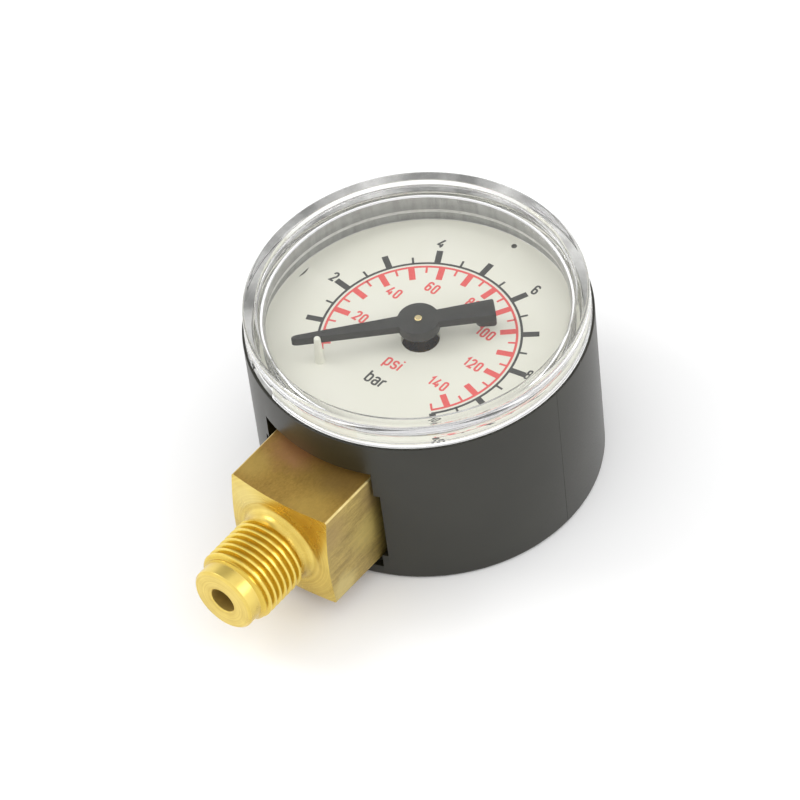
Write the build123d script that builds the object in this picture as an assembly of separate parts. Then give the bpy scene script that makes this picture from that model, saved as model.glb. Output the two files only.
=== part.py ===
from build123d import *
from math import acos, atan2, cos, degrees, pi, radians, sin, sqrt, tan
import os

# Bourdon-tube pressure gauge, 40 mm nominal size, G1/8 stem at the bottom of the dial.
# Millimetres. The gauge lies on its back: the origin is the centre of the case's back face,
# +Z points out of the dial, -Y is the direction of the stem and +Y is 12 o'clock on the dial.
# Angles are in degrees, counter-clockwise seen from the front, from +X.

# ---- case ----
CASE_R_BACK = 20.24          # outer radius at the back face
CASE_R_RIM = 20.58           # outer radius at the front rim, with the mould's draft
CASE_RIM_Z = 22.74
CASE_FLOOR = 1.6
CASE_BACK_EDGE = 0.5         # rounding of the back edge
CASE_BORE_R = 18.4           # inside radius behind the dial
CASE_MOUTH_R = 19.3          # inside radius from the dial's ledge to the rim
DIAL_LEDGE_Z = 17.6
OPENING_X = -0.5             # the stem's opening sits a little to one side of the stem
OPENING_HALF = 7.9
OPENING_Z = (1.65, 18.0)
OPENING_NOTCH_HALF = 8.6
OPENING_NOTCH_Z = (3.65, 14.2)
SCREW_PAD_R = 2.6            # raised pads on the floor that the socket stands on
CASE_SCREW_X = 4.4
CASE_SCREW_Y = -16.9
CASE_SCREW_R = 1.1
CASE_SCREW_HEAD_R = 2.0
CASE_SCREW_END_Z = 6.4
SNAP_GROOVE_R = 19.5         # groove in the mouth for the window's snap bead
SNAP_BEAD_R = 19.45
SNAP_Z = 21.6
SNAP_HALF = 0.1              # half of the bead's flat

# ---- dial ----
DIAL_R = 19.15
DIAL_TOP_Z = 18.6
DIAL_HOLE_R = 2.25
STOP_PIN_RADIUS = 12.05      # distance of the stop pin from the centre
STOP_PIN_ANGLE = 230.9
STOP_PIN_BASE_R = 0.6
STOP_PIN_TOP_R = 0.38
STOP_PIN_TOP_Z = 22.6
STOP_PIN_TIP_FILLET = 0.34
DIAL_KEY_RADIUS = 17.65      # small blind dimple at 12 o'clock
DIAL_KEY_R = 0.35
DIAL_KEY_DEPTH = 0.4

# ---- window ----
WINDOW_R = 20.24
WINDOW_FLANGE_R = 20.3
WINDOW_FLANGE_TOP_Z = 23.65
WINDOW_TOP_Z = 26.4
WINDOW_SHOULDER = 0.45       # rounding of the outer top edge
WINDOW_LAND_R = 18.75        # inner edge of the raised ring's top land
LENS_TOP_Z = 25.45
LENS_UNDER_Z = 23.65
LENS_EDGE_R = 18.6
LENS_UNDER_R = 17.7          # where the underside meets the slope to the skirt
SKIRT_OUTER_R = 19.15
SKIRT_INNER_R = 18.5
SKIRT_END_Z = 20.2
LIP_INNER_R = 18.85          # thinner lip of the skirt that holds the dial down
NOTCH_ANGLES = (236.8, 251.8)  # pry slot in the flange
NOTCH_INNER_R = 19.6
NOTCH_TOP_Z = 24.1

# ---- pointer ----
POINTER_ANGLE = 225.5        # at zero pressure
POINTER_TOP_Z = 21.98
POINTER_LENGTH = 14.95
POINTER_ROOT_HALF = 1.0
POINTER_TIP_HALF = 0.4
POINTER_THICKNESS = 1.1
POINTER_HUB_R = 2.5
POINTER_HUB_HEIGHT = 1.46
TAIL_LENGTH = 9.0
TAIL_END_HALF = 1.32
COUNTERWEIGHT_LENGTH = 2.4
COUNTERWEIGHT_EXTRA = 1.0    # how far the counterweight hangs below the bar

# ---- socket ----
STEM_Z = 9.72                # height of the stem's axis above the back face
SOCKET_AF = 14.0             # across flats of the square
SOCKET_LOW_Z = STEM_Z - SOCKET_AF / 2
SOCKET_FACE_Y = -27.75       # turned front face
SOCKET_FACE_R = 6.2
SOCKET_CORNER_Y = -27.06     # where the face's shallow cone meets the square's corners
SOCKET_BACK_Y = -16.6
FILLET_R = 1.35              # concave turned fillet between the face and the relief
RELIEF_R = 4.3
THREAD_MAJOR_R = 4.864       # G1/8
THREAD_MINOR_R = 4.283
THREAD_PITCH = 0.907
THREAD_CREST = 0.151
THREAD_START_Y = -29.243
THREAD_TURNS = 7
NOSE_R = 4.15
NOSE_END_Y = -38.6
NOSE_CHAMFER = 0.3
PORT_R = 1.65
PORT_END_Y = -17.8
FEED_R = 0.45
POST_HALF = 3.2              # the post inside the case that carries the tube and the movement
POST_END_Y = -10.8
POST_Z = (5.0, 14.0)
FOOT_HALF = 6.6              # thickened lower end of the square, for the case screws
FOOT_END_Y = -14.8
FOOT_TOP_Z = 7.0
POST_SCREW_X = 1.8
POST_SCREW_Y = -14.6

# ---- bourdon tube ----
TUBE_MEAN_R = 12.6
TUBE_WIDTH = 5.0
TUBE_THICKNESS = 1.3
TUBE_WALL = 0.2
TUBE_ROOT = 270.0
TUBE_TIP = -20.0
TUBE_CHAMBER = 4.0           # degrees of pocket past the tube's open root
TUBE_BURIED = 30.0           # degrees of tube that the pocket takes at the root
TIP_CAP = 5.0                # degrees that the end piece reaches past the tube
TIP_CAP_WALL = 0.45

# ---- movement ----
GEAR_MODULE = 0.2
PINION_TEETH = 9
SECTOR_TEETH = 81            # on the full circle
SECTOR_DIRECTION = -74.0     # direction of the sector's arbor from the pinion
SECTOR_LEAD_TEETH = 3.5      # teeth from the mesh to the middle of the toothed arc at zero
SECTOR_CUT_TEETH = 11        # teeth cut on the arc
PRESSURE_ANGLE = 20.0
BACKLASH = 0.05              # along the pitch circle
PINION_ADDENDUM = 1.0        # tooth heights in modules; the pinion's are long, the sector's short
PINION_DEDENDUM = 0.75
SECTOR_ADDENDUM = 0.5
SECTOR_DEDENDUM = 1.25
INVOLUTE_STEPS = 5
SECTOR_HUB_R = 1.6
SECTOR_RIM = 1.1             # width of the rim under the teeth
SECTOR_SPOKE = 1.0
TAIL_ARM_HALF = 0.8
BACK_PLATE_Z = (7.0, 7.8)
FRONT_PLATE_Z = (14.0, 14.8)
SECTOR_Z = (10.6, 11.4)
PINION_Z = (9.9, 12.1)
END_SHAKE = 0.05             # axial gap between the arbors' shoulders and the plates
COLLAR_R = 0.8
ARBOR_R = 0.6
SPINDLE_DOME = 0.15          # height of the spindle's domed end above the pointer
TAIL_ARM = 3.2
TAIL_ARM_ANGLE = -45.0
LINK_LENGTH = 7.0
LINK_ANGLE = 57.5
LINK_Z = (11.5, 11.9)
LINK_HALF = 0.75
RIVET_HEAD_R = 0.75
RIVET_HEAD_Z = (11.95, 12.25)
LUG_HALF = 0.95
RIVET_R = 0.4
LINK_RUNNING = 0.05          # radial clearance at the sector's end of the link
LINK_OPEN = 0.11             # radial clearance at the tube's end of the link
PIVOT_R = 0.35
PIVOT_CLEARANCE = 0.05
SPINDLE_R = 0.5
SPINDLE_TOP_R = 0.47
PILLAR_R = 1.0
PILLARS = ((-5.2, 2.6), (5.6, 2.4), (-4.6, -8.2))
PILLAR_STUB_R = 0.6
PILLAR_SCREW_R = 0.4
PILLAR_SCREW_HEAD_R = 0.85
PILLAR_SCREW_HEAD = 0.6
PILLAR_SCREW_DEPTH = 2.0
HAIRSPRING_Z = (8.6, 9.1)
HAIRSPRING_TURNS = 5
HAIRSPRING_PITCH = 0.7
HAIRSPRING_STRIP = 0.12
COLLET_R = 1.1
COLLET_Z = (8.4, 9.3)
STUD_WIDTH = 0.8
STUD_TOP_Z = 9.3
SMALL_SCREW_R = 0.7
SMALL_SCREW_HEAD_R = 1.25
SMALL_SCREW_HEAD = 0.8
SMALL_SCREW_DEPTH = 3.0
SCREW_SLOT = 0.3
CROSS_SLOT_LENGTH = 2.4
SCREW_SLOT_LENGTH = 4.0       # longer than any slotted head is wide
PLATE_MARGIN = 1.7           # plate material round each pivot, pillar and screw

os.makedirs("parts", exist_ok=True)


def save(shape, node):
    export_step(shape, "parts/" + node + ".step")


def cylinder_z(radius, z_low, z_high, x=0.0, y=0.0):
    height = z_high - z_low
    return Pos(x, y, z_low) * Cylinder(radius, height, align=(Align.CENTER, Align.CENTER, Align.MIN))


def box_between(x_low, x_high, y_low, y_high, z_low, z_high):
    size = (x_high - x_low, y_high - y_low, z_high - z_low)
    return Pos(x_low, y_low, z_low) * Box(*size, align=(Align.MIN, Align.MIN, Align.MIN))


def turned_z(outline):
    """Solid of revolution about Z from (radius, z) points."""
    return revolve(make_face(Plane.XZ * Polyline(*outline, close=True)), Axis.Z)


def polar(radius, angle):
    return radius * cos(radians(angle)), radius * sin(radians(angle))


def wedge(radius, start, end, z_low, z_high):
    """Solid sector of a disc between two angles."""
    middle = polar(radius, (start + end) / 2)
    outline = Line((0, 0), polar(radius, start))
    outline += ThreePointArc(polar(radius, start), middle, polar(radius, end))
    outline += Line(polar(radius, end), (0, 0))
    return extrude(Pos(0, 0, z_low) * make_face(outline), amount=z_high - z_low)


def bar(start, end, half_width, z_low, z_high):
    """Flat strip with round ends between two points."""
    length = sqrt((end[0] - start[0]) ** 2 + (end[1] - start[1]) ** 2)
    angle = degrees(atan2(end[1] - start[1], end[0] - start[0]))
    middle = ((start[0] + end[0]) / 2, (start[1] + end[1]) / 2)
    strip = Pos(*middle) * Rot(0, 0, angle) * Rectangle(length, 2 * half_width)
    face = strip + Pos(*start) * Circle(half_width) + Pos(*end) * Circle(half_width)
    return extrude(Pos(0, 0, z_low) * face, amount=z_high - z_low)


SECTOR_CENTRE = polar(GEAR_MODULE * (PINION_TEETH + SECTOR_TEETH) / 2, SECTOR_DIRECTION)
TAIL_PIN = (
    SECTOR_CENTRE[0] + polar(TAIL_ARM, TAIL_ARM_ANGLE)[0],
    SECTOR_CENTRE[1] + polar(TAIL_ARM, TAIL_ARM_ANGLE)[1],
)
TIP_PIN = (
    TAIL_PIN[0] + polar(LINK_LENGTH, LINK_ANGLE)[0],
    TAIL_PIN[1] + polar(LINK_LENGTH, LINK_ANGLE)[1],
)


def make_case():
    outline = (
        (0, 0),
        (CASE_R_BACK, 0),
        (CASE_R_RIM, CASE_RIM_Z),
        (CASE_MOUTH_R, CASE_RIM_Z),
        (CASE_MOUTH_R, SNAP_Z + SNAP_HALF + SNAP_GROOVE_R - CASE_MOUTH_R),
        (SNAP_GROOVE_R, SNAP_Z + SNAP_HALF),
        (SNAP_GROOVE_R, SNAP_Z - SNAP_HALF),
        (CASE_MOUTH_R, SNAP_Z - SNAP_HALF - SNAP_GROOVE_R + CASE_MOUTH_R),
        (CASE_MOUTH_R, DIAL_LEDGE_Z),
        (CASE_BORE_R, DIAL_LEDGE_Z),
        (CASE_BORE_R, CASE_FLOOR),
        (0, CASE_FLOOR),
    )
    case = turned_z(outline)
    back_edge = case.edges().filter_by(GeomType.CIRCLE).sort_by(Axis.Z)[0]
    case = fillet(back_edge, CASE_BACK_EDGE)
    wall = (-CASE_R_RIM - 1, -CASE_BORE_R + OPENING_HALF / 2)
    case -= box_between(OPENING_X - OPENING_HALF, OPENING_X + OPENING_HALF, *wall, *OPENING_Z)
    case -= box_between(
        OPENING_X - OPENING_NOTCH_HALF, OPENING_X + OPENING_NOTCH_HALF, *wall, *OPENING_NOTCH_Z
    )
    for side in (-1, 1):
        centre = (side * CASE_SCREW_X, CASE_SCREW_Y)
        case += cylinder_z(SCREW_PAD_R, CASE_FLOOR, SOCKET_LOW_Z, *centre)
        case -= cylinder_z(CASE_SCREW_R, 0, SOCKET_LOW_Z, *centre)
        case -= screw_head_cone(centre)
    return case


def screw_head_cone(centre):
    """Countersunk head of a case screw, flush with the back face."""
    depth = CASE_SCREW_HEAD_R - CASE_SCREW_R
    cone = Cone(CASE_SCREW_HEAD_R, CASE_SCREW_R, depth, align=(Align.CENTER, Align.CENTER, Align.MIN))
    return Pos(*centre, 0) * cone


def make_case_screws():
    screws = []
    for side in (-1, 1):
        centre = (side * CASE_SCREW_X, CASE_SCREW_Y)
        screw = cylinder_z(CASE_SCREW_R, 0, CASE_SCREW_END_Z, *centre) + screw_head_cone(centre)
        for turn in (0, 90):
            slot = Rot(0, 0, turn) * Box(CROSS_SLOT_LENGTH, SCREW_SLOT, 2 * SCREW_SLOT)
            screw -= Pos(*centre, SCREW_SLOT) * slot
        screws.append(screw)
    return Compound(children=screws)


def make_dial():
    dial = cylinder_z(DIAL_R, DIAL_LEDGE_Z, DIAL_TOP_Z)
    dial -= cylinder_z(DIAL_HOLE_R, DIAL_LEDGE_Z, DIAL_TOP_Z)
    pin_height = STOP_PIN_TOP_Z - DIAL_TOP_Z
    pin = Cone(STOP_PIN_BASE_R, STOP_PIN_TOP_R, pin_height, align=(Align.CENTER, Align.CENTER, Align.MIN))
    top = pin.edges().filter_by(GeomType.CIRCLE).sort_by(Axis.Z)[-1]
    pin = fillet(top, STOP_PIN_TIP_FILLET)
    dial += Pos(*polar(STOP_PIN_RADIUS, STOP_PIN_ANGLE), DIAL_TOP_Z) * pin
    dial -= cylinder_z(DIAL_KEY_R, DIAL_TOP_Z - DIAL_KEY_DEPTH, DIAL_TOP_Z, 0, DIAL_KEY_RADIUS)
    return dial


def make_window():
    shoulder_r = WINDOW_R - WINDOW_SHOULDER
    shoulder_z = WINDOW_TOP_Z - WINDOW_SHOULDER
    diagonal = WINDOW_SHOULDER * sqrt(0.5)
    outline = Line((WINDOW_LAND_R, WINDOW_TOP_Z), (shoulder_r, WINDOW_TOP_Z))
    outline += ThreePointArc(
        (shoulder_r, WINDOW_TOP_Z),
        (shoulder_r + diagonal, shoulder_z + diagonal),
        (WINDOW_R, shoulder_z),
    )
    outline += Polyline(
        (WINDOW_R, shoulder_z),
        (WINDOW_R, WINDOW_FLANGE_TOP_Z),
        (WINDOW_FLANGE_R, WINDOW_FLANGE_TOP_Z),
        (WINDOW_FLANGE_R, CASE_RIM_Z),
        (SKIRT_OUTER_R, CASE_RIM_Z),
        (SKIRT_OUTER_R, SNAP_Z + SNAP_HALF),
        (SNAP_BEAD_R, SNAP_Z),
        (SKIRT_OUTER_R, SNAP_Z - SNAP_HALF - SNAP_BEAD_R + SKIRT_OUTER_R),
        (SKIRT_OUTER_R, DIAL_TOP_Z),
        (LIP_INNER_R, DIAL_TOP_Z),
        (LIP_INNER_R, SKIRT_END_Z),
        (SKIRT_INNER_R, SKIRT_END_Z),
        (SKIRT_INNER_R, LENS_UNDER_Z - SKIRT_INNER_R + LENS_UNDER_R),
        (LENS_UNDER_R, LENS_UNDER_Z),
        (0, LENS_UNDER_Z),
        (0, LENS_TOP_Z),
        (LENS_EDGE_R, LENS_TOP_Z),
        (WINDOW_LAND_R, WINDOW_TOP_Z),
    )
    window = revolve(make_face(Plane.XZ * outline), Axis.Z)
    notch = wedge(WINDOW_FLANGE_R + 1, *NOTCH_ANGLES, CASE_RIM_Z, NOTCH_TOP_Z)
    window -= notch - cylinder_z(NOTCH_INNER_R, CASE_RIM_Z, NOTCH_TOP_Z)
    return window


def make_pointer():
    """Pointer along +X, turned to its angle at the end."""
    bar_low = POINTER_TOP_Z - POINTER_THICKNESS
    tip_start = POINTER_LENGTH - 2 * POINTER_TIP_HALF
    blade = make_face(
        Polyline(
            (tip_start, -POINTER_TIP_HALF),
            (POINTER_LENGTH, 0),
            (tip_start, POINTER_TIP_HALF),
            (0, POINTER_ROOT_HALF),
            (-POINTER_HUB_R, POINTER_ROOT_HALF),
            (-TAIL_LENGTH, TAIL_END_HALF),
            (-TAIL_LENGTH, -TAIL_END_HALF),
            (-POINTER_HUB_R, -POINTER_ROOT_HALF),
            (0, -POINTER_ROOT_HALF),
            close=True,
        )
    )
    weight = make_face(
        Polyline(
            (-TAIL_LENGTH, TAIL_END_HALF),
            (-TAIL_LENGTH, -TAIL_END_HALF),
            (-TAIL_LENGTH + COUNTERWEIGHT_LENGTH, -POINTER_ROOT_HALF),
            (-TAIL_LENGTH + COUNTERWEIGHT_LENGTH, POINTER_ROOT_HALF),
            close=True,
        )
    )
    pointer = extrude(Pos(0, 0, bar_low) * blade, amount=POINTER_THICKNESS)
    pointer += extrude(Pos(0, 0, bar_low - COUNTERWEIGHT_EXTRA) * weight, amount=COUNTERWEIGHT_EXTRA)
    pointer += cylinder_z(POINTER_HUB_R, POINTER_TOP_Z - POINTER_HUB_HEIGHT, POINTER_TOP_Z)
    pointer -= cylinder_z(SPINDLE_TOP_R, POINTER_TOP_Z - POINTER_HUB_HEIGHT, POINTER_TOP_Z)
    return Rot(0, 0, POINTER_ANGLE) * pointer


def thread_outline():
    """Points (radius, y) of the stem's thread, from the relief to the nose."""
    flank = (THREAD_PITCH - 2 * THREAD_CREST) / 2
    points = [(RELIEF_R, THREAD_START_Y)]
    start = THREAD_START_Y - flank
    for turn in range(THREAD_TURNS):
        crest = start - turn * THREAD_PITCH
        points.append((THREAD_MAJOR_R, crest))
        points.append((THREAD_MAJOR_R, crest - THREAD_CREST))
        points.append((THREAD_MINOR_R, crest - THREAD_CREST - flank))
        points.append((THREAD_MINOR_R, crest - 2 * THREAD_CREST - flank))
    last = start - THREAD_TURNS * THREAD_PITCH
    points.append((THREAD_MAJOR_R, last))
    points.append((THREAD_MAJOR_R, last - THREAD_CREST))
    points.append((NOSE_R, last - THREAD_CREST - (THREAD_MAJOR_R - NOSE_R)))
    return points


def make_socket():
    half = SOCKET_AF / 2
    block = box_between(-half, half, SOCKET_FACE_Y, SOCKET_BACK_Y, SOCKET_LOW_Z, SOCKET_LOW_Z + SOCKET_AF)
    corner_r = half * sqrt(2)
    face_envelope = make_face(
        Polyline(
            (0, SOCKET_BACK_Y),
            (0, SOCKET_FACE_Y),
            (SOCKET_FACE_R, SOCKET_FACE_Y),
            (corner_r, SOCKET_CORNER_Y),
            (corner_r, SOCKET_BACK_Y),
            close=True,
        )
    )
    block &= Pos(0, 0, STEM_Z) * revolve(face_envelope, Axis.Y)
    fillet_end_y = SOCKET_FACE_Y - FILLET_R
    fillet_foot_r = RELIEF_R + FILLET_R
    arc_middle = (fillet_foot_r - FILLET_R * sqrt(0.5), fillet_end_y + FILLET_R * sqrt(0.5))
    outline = Polyline((0, SOCKET_BACK_Y), (fillet_foot_r, SOCKET_BACK_Y), (fillet_foot_r, SOCKET_FACE_Y))
    outline += ThreePointArc((fillet_foot_r, SOCKET_FACE_Y), arc_middle, (RELIEF_R, fillet_end_y))
    outline += Polyline(
        (RELIEF_R, fillet_end_y),
        *thread_outline(),
        (NOSE_R, NOSE_END_Y + NOSE_CHAMFER),
        (NOSE_R - NOSE_CHAMFER, NOSE_END_Y),
        (0, NOSE_END_Y),
        (0, SOCKET_BACK_Y),
    )
    stem = Pos(0, 0, STEM_Z) * revolve(make_face(outline), Axis.Y)
    post = box_between(-POST_HALF, POST_HALF, SOCKET_BACK_Y, POST_END_Y, *POST_Z)
    foot = box_between(-FOOT_HALF, FOOT_HALF, SOCKET_BACK_Y, FOOT_END_Y, SOCKET_LOW_Z, FOOT_TOP_Z)
    socket = block + stem + post + foot
    port = Cylinder(PORT_R, PORT_END_Y - NOSE_END_Y)
    port_middle = (PORT_END_Y + NOSE_END_Y) / 2
    socket -= Pos(0, port_middle, STEM_Z) * Rot(90, 0, 0) * port
    chamber_x = TUBE_MEAN_R * sin(radians(TUBE_CHAMBER / 2))
    feed = Cylinder(FEED_R, -PORT_END_Y - TUBE_MEAN_R)
    socket -= Pos(chamber_x, (PORT_END_Y - TUBE_MEAN_R) / 2, STEM_Z) * Rot(90, 0, 0) * feed
    socket -= tube_stretch(0, TUBE_ROOT - TUBE_BURIED, TUBE_ROOT + TUBE_CHAMBER)
    for side in (-1, 1):
        socket -= cylinder_z(CASE_SCREW_R, SOCKET_LOW_Z, CASE_SCREW_END_Z, side * CASE_SCREW_X, CASE_SCREW_Y)
        post_screw = (side * POST_SCREW_X, POST_SCREW_Y)
        socket -= cylinder_z(SMALL_SCREW_R, POST_Z[1] - SMALL_SCREW_DEPTH, POST_Z[1], *post_screw)
    return socket


def tube_section(inset):
    """Flattened round-ended section of the Bourdon tube, on the XZ plane."""
    width = TUBE_WIDTH - 2 * inset
    thickness = TUBE_THICKNESS - 2 * inset
    section = Rot(0, 0, 90) * SlotOverall(width, thickness)
    return Plane.XZ * (Pos(TUBE_MEAN_R, STEM_Z) * section)


def tube_stretch(inset, start, end):
    """Solid of the tube's section turned about Z from one angle to another."""
    return Rot(0, 0, start) * revolve(tube_section(inset), Axis.Z, revolution_arc=end - start)


def make_bourdon_tube():
    return tube_stretch(0, TUBE_TIP, TUBE_ROOT) - tube_stretch(TUBE_WALL, TUBE_TIP, TUBE_ROOT)


def make_tube_end_piece():
    cap = tube_stretch(-TIP_CAP_WALL, TUBE_TIP - TIP_CAP, TUBE_TIP + TIP_CAP / 2)
    lug = bar(polar(TUBE_MEAN_R, TUBE_TIP - TIP_CAP / 2), TIP_PIN, LUG_HALF, *SECTOR_Z)
    piece = cap + lug
    piece -= tube_stretch(0, TUBE_TIP, TUBE_TIP + TIP_CAP)
    piece -= cylinder_z(RIVET_R, *SECTOR_Z, *TIP_PIN)
    return piece


def involute_point(base_r, radius, half_angle):
    """Point (radius, angle in degrees) on a tooth flank, angle measured from the tooth's middle."""
    roll = acos(min(1.0, base_r / radius))
    return radius, degrees(half_angle - (tan(roll) - roll))


def tooth(teeth, addendum, dedendum):
    """One gear tooth pointing along +X, from just inside the root circle to its tip."""
    pitch_r = GEAR_MODULE * teeth / 2
    base_r = pitch_r * cos(radians(PRESSURE_ANGLE))
    tip_r = pitch_r + addendum * GEAR_MODULE
    root_r = pitch_r - dedendum * GEAR_MODULE
    flank_r = max(base_r, root_r)
    inv_pitch = tan(radians(PRESSURE_ANGLE)) - radians(PRESSURE_ANGLE)
    half_angle = (pi * GEAR_MODULE - BACKLASH) / (4 * pitch_r) + inv_pitch
    flank = []
    for step in range(INVOLUTE_STEPS + 1):
        radius = flank_r + (tip_r - flank_r) * step / INVOLUTE_STEPS
        flank.append(involute_point(base_r, radius, half_angle))
    foot = (root_r - GEAR_MODULE / 2, flank[0][1])
    upper = [polar(radius, angle) for radius, angle in [foot] + flank]
    lower = [polar(radius, -angle) for radius, angle in [foot] + flank]
    return make_face(Polyline(*upper, *reversed(lower), close=True))


def make_pinion_spindle():
    teeth = Circle(GEAR_MODULE * (PINION_TEETH / 2 - PINION_DEDENDUM))
    for number in range(PINION_TEETH):
        turn = SECTOR_DIRECTION + number * 360 / PINION_TEETH
        teeth += Rot(0, 0, turn) * tooth(PINION_TEETH, PINION_ADDENDUM, PINION_DEDENDUM)
    spindle = extrude(Pos(0, 0, PINION_Z[0]) * teeth, amount=PINION_Z[1] - PINION_Z[0])
    hub_low = POINTER_TOP_Z - POINTER_HUB_HEIGHT
    low_shoulder = BACK_PLATE_Z[1] + END_SHAKE
    spindle += cylinder_z(PIVOT_R, BACK_PLATE_Z[0], low_shoulder)
    spindle += cylinder_z(SPINDLE_R, low_shoulder, hub_low)
    spindle += cylinder_z(COLLAR_R, PINION_Z[1], FRONT_PLATE_Z[0] - END_SHAKE)
    top = cylinder_z(SPINDLE_TOP_R, hub_low, POINTER_TOP_Z + SPINDLE_DOME)
    rim = top.edges().filter_by(GeomType.CIRCLE).sort_by(Axis.Z)[-1]
    spindle += fillet(rim, SPINDLE_DOME)
    return spindle


def make_sector_gear():
    """Toothed fan with a tail arm, built about the origin with its arc's middle along +X."""
    pitch = 360 / SECTOR_TEETH
    half_arc = pitch * SECTOR_CUT_TEETH / 2
    root_r = GEAR_MODULE * (SECTOR_TEETH / 2 - SECTOR_DEDENDUM)
    thickness = SECTOR_Z[1] - SECTOR_Z[0]
    gear = wedge(root_r, -half_arc, half_arc, 0, thickness)
    gear += cylinder_z(SECTOR_HUB_R, 0, thickness)
    for number in range(SECTOR_CUT_TEETH):
        turn = (number + 0.5) * pitch - half_arc
        outline = Rot(0, 0, turn) * tooth(SECTOR_TEETH, SECTOR_ADDENDUM, SECTOR_DEDENDUM)
        gear += extrude(outline, amount=thickness)
    opening = wedge(root_r - SECTOR_RIM, -half_arc, half_arc, 0, thickness)
    opening -= cylinder_z(SECTOR_HUB_R + SECTOR_SPOKE, 0, thickness)
    for side in (-1, 1):
        spoke = bar((0, 0), polar(root_r, side * half_arc), SECTOR_SPOKE, 0, thickness)
        opening -= spoke
    gear -= opening
    direction = SECTOR_DIRECTION + 180 - SECTOR_LEAD_TEETH * pitch
    gear = Pos(*SECTOR_CENTRE, SECTOR_Z[0]) * Rot(0, 0, direction) * gear
    gear += bar(SECTOR_CENTRE, TAIL_PIN, TAIL_ARM_HALF, *SECTOR_Z)
    gear -= cylinder_z(ARBOR_R, *SECTOR_Z, *SECTOR_CENTRE)
    gear -= cylinder_z(RIVET_R, *SECTOR_Z, *TAIL_PIN)
    return gear


def make_sector_arbor():
    low = BACK_PLATE_Z[1] + END_SHAKE
    high = FRONT_PLATE_Z[0] - END_SHAKE
    arbor = cylinder_z(PIVOT_R, BACK_PLATE_Z[0], FRONT_PLATE_Z[1], *SECTOR_CENTRE)
    arbor += cylinder_z(ARBOR_R, low, high, *SECTOR_CENTRE)
    return arbor


def make_link():
    link = bar(TAIL_PIN, TIP_PIN, LINK_HALF, *LINK_Z)
    link -= cylinder_z(RIVET_R + LINK_RUNNING, *LINK_Z, *TAIL_PIN)
    link -= cylinder_z(RIVET_R + LINK_OPEN, *LINK_Z, *TIP_PIN)
    return link


def make_link_rivet(centre):
    rivet = cylinder_z(RIVET_R, SECTOR_Z[0], RIVET_HEAD_Z[1], *centre)
    return rivet + cylinder_z(RIVET_HEAD_R, *RIVET_HEAD_Z, *centre)


def plate(points, z_low, z_high):
    """Flat plate whose outline wraps a circle round each point."""
    circles = Sketch() + [Pos(*point) * Circle(PLATE_MARGIN) for point in points]
    return extrude(Pos(0, 0, z_low) * make_hull(circles.edges()), amount=z_high - z_low)


def make_back_plate():
    back = plate(PILLARS + (SECTOR_CENTRE,), *BACK_PLATE_Z)
    back -= cylinder_z(PIVOT_R + PIVOT_CLEARANCE, *BACK_PLATE_Z)
    back -= cylinder_z(PIVOT_R + PIVOT_CLEARANCE, *BACK_PLATE_Z, *SECTOR_CENTRE)
    for centre in PILLARS:
        back -= cylinder_z(PILLAR_STUB_R, *BACK_PLATE_Z, *centre)
    return back


def make_front_plate():
    post_screws = ((-POST_SCREW_X, POST_SCREW_Y), (POST_SCREW_X, POST_SCREW_Y))
    front = plate(PILLARS + (SECTOR_CENTRE,) + post_screws, *FRONT_PLATE_Z)
    front -= cylinder_z(SPINDLE_R + PIVOT_CLEARANCE, *FRONT_PLATE_Z)
    front -= cylinder_z(PIVOT_R + PIVOT_CLEARANCE, *FRONT_PLATE_Z, *SECTOR_CENTRE)
    for centre in PILLARS:
        front -= cylinder_z(PILLAR_SCREW_R, *FRONT_PLATE_Z, *centre)
    for centre in post_screws:
        front -= cylinder_z(SMALL_SCREW_R, *FRONT_PLATE_Z, *centre)
    return front


def make_pillar(centre):
    pillar = cylinder_z(PILLAR_R, BACK_PLATE_Z[1], FRONT_PLATE_Z[0], *centre)
    pillar += cylinder_z(PILLAR_STUB_R, *BACK_PLATE_Z, *centre)
    screw_end = FRONT_PLATE_Z[0] - PILLAR_SCREW_DEPTH
    return pillar - cylinder_z(PILLAR_SCREW_R, screw_end, FRONT_PLATE_Z[0], *centre)


def plate_screw(centre, shank_r, depth, head_r, head_height):
    """Slotted cheese-head screw standing on the front plate."""
    plate_top = FRONT_PLATE_Z[1]
    screw = cylinder_z(shank_r, FRONT_PLATE_Z[0] - depth, plate_top, *centre)
    screw += cylinder_z(head_r, plate_top, plate_top + head_height, *centre)
    slot_z = plate_top + head_height
    return screw - Pos(*centre, slot_z) * Box(SCREW_SLOT_LENGTH, SCREW_SLOT, head_height)


def make_pillar_screws():
    size = (PILLAR_SCREW_R, PILLAR_SCREW_DEPTH, PILLAR_SCREW_HEAD_R, PILLAR_SCREW_HEAD)
    return Compound(children=[plate_screw(centre, *size) for centre in PILLARS])


def make_post_screws():
    size = (SMALL_SCREW_R, SMALL_SCREW_DEPTH, SMALL_SCREW_HEAD_R, SMALL_SCREW_HEAD)
    centres = ((-POST_SCREW_X, POST_SCREW_Y), (POST_SCREW_X, POST_SCREW_Y))
    return Compound(children=[plate_screw(centre, *size) for centre in centres])


def hairspring_end_r():
    return COLLET_R + HAIRSPRING_STRIP / 2 + HAIRSPRING_TURNS * HAIRSPRING_PITCH


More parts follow.
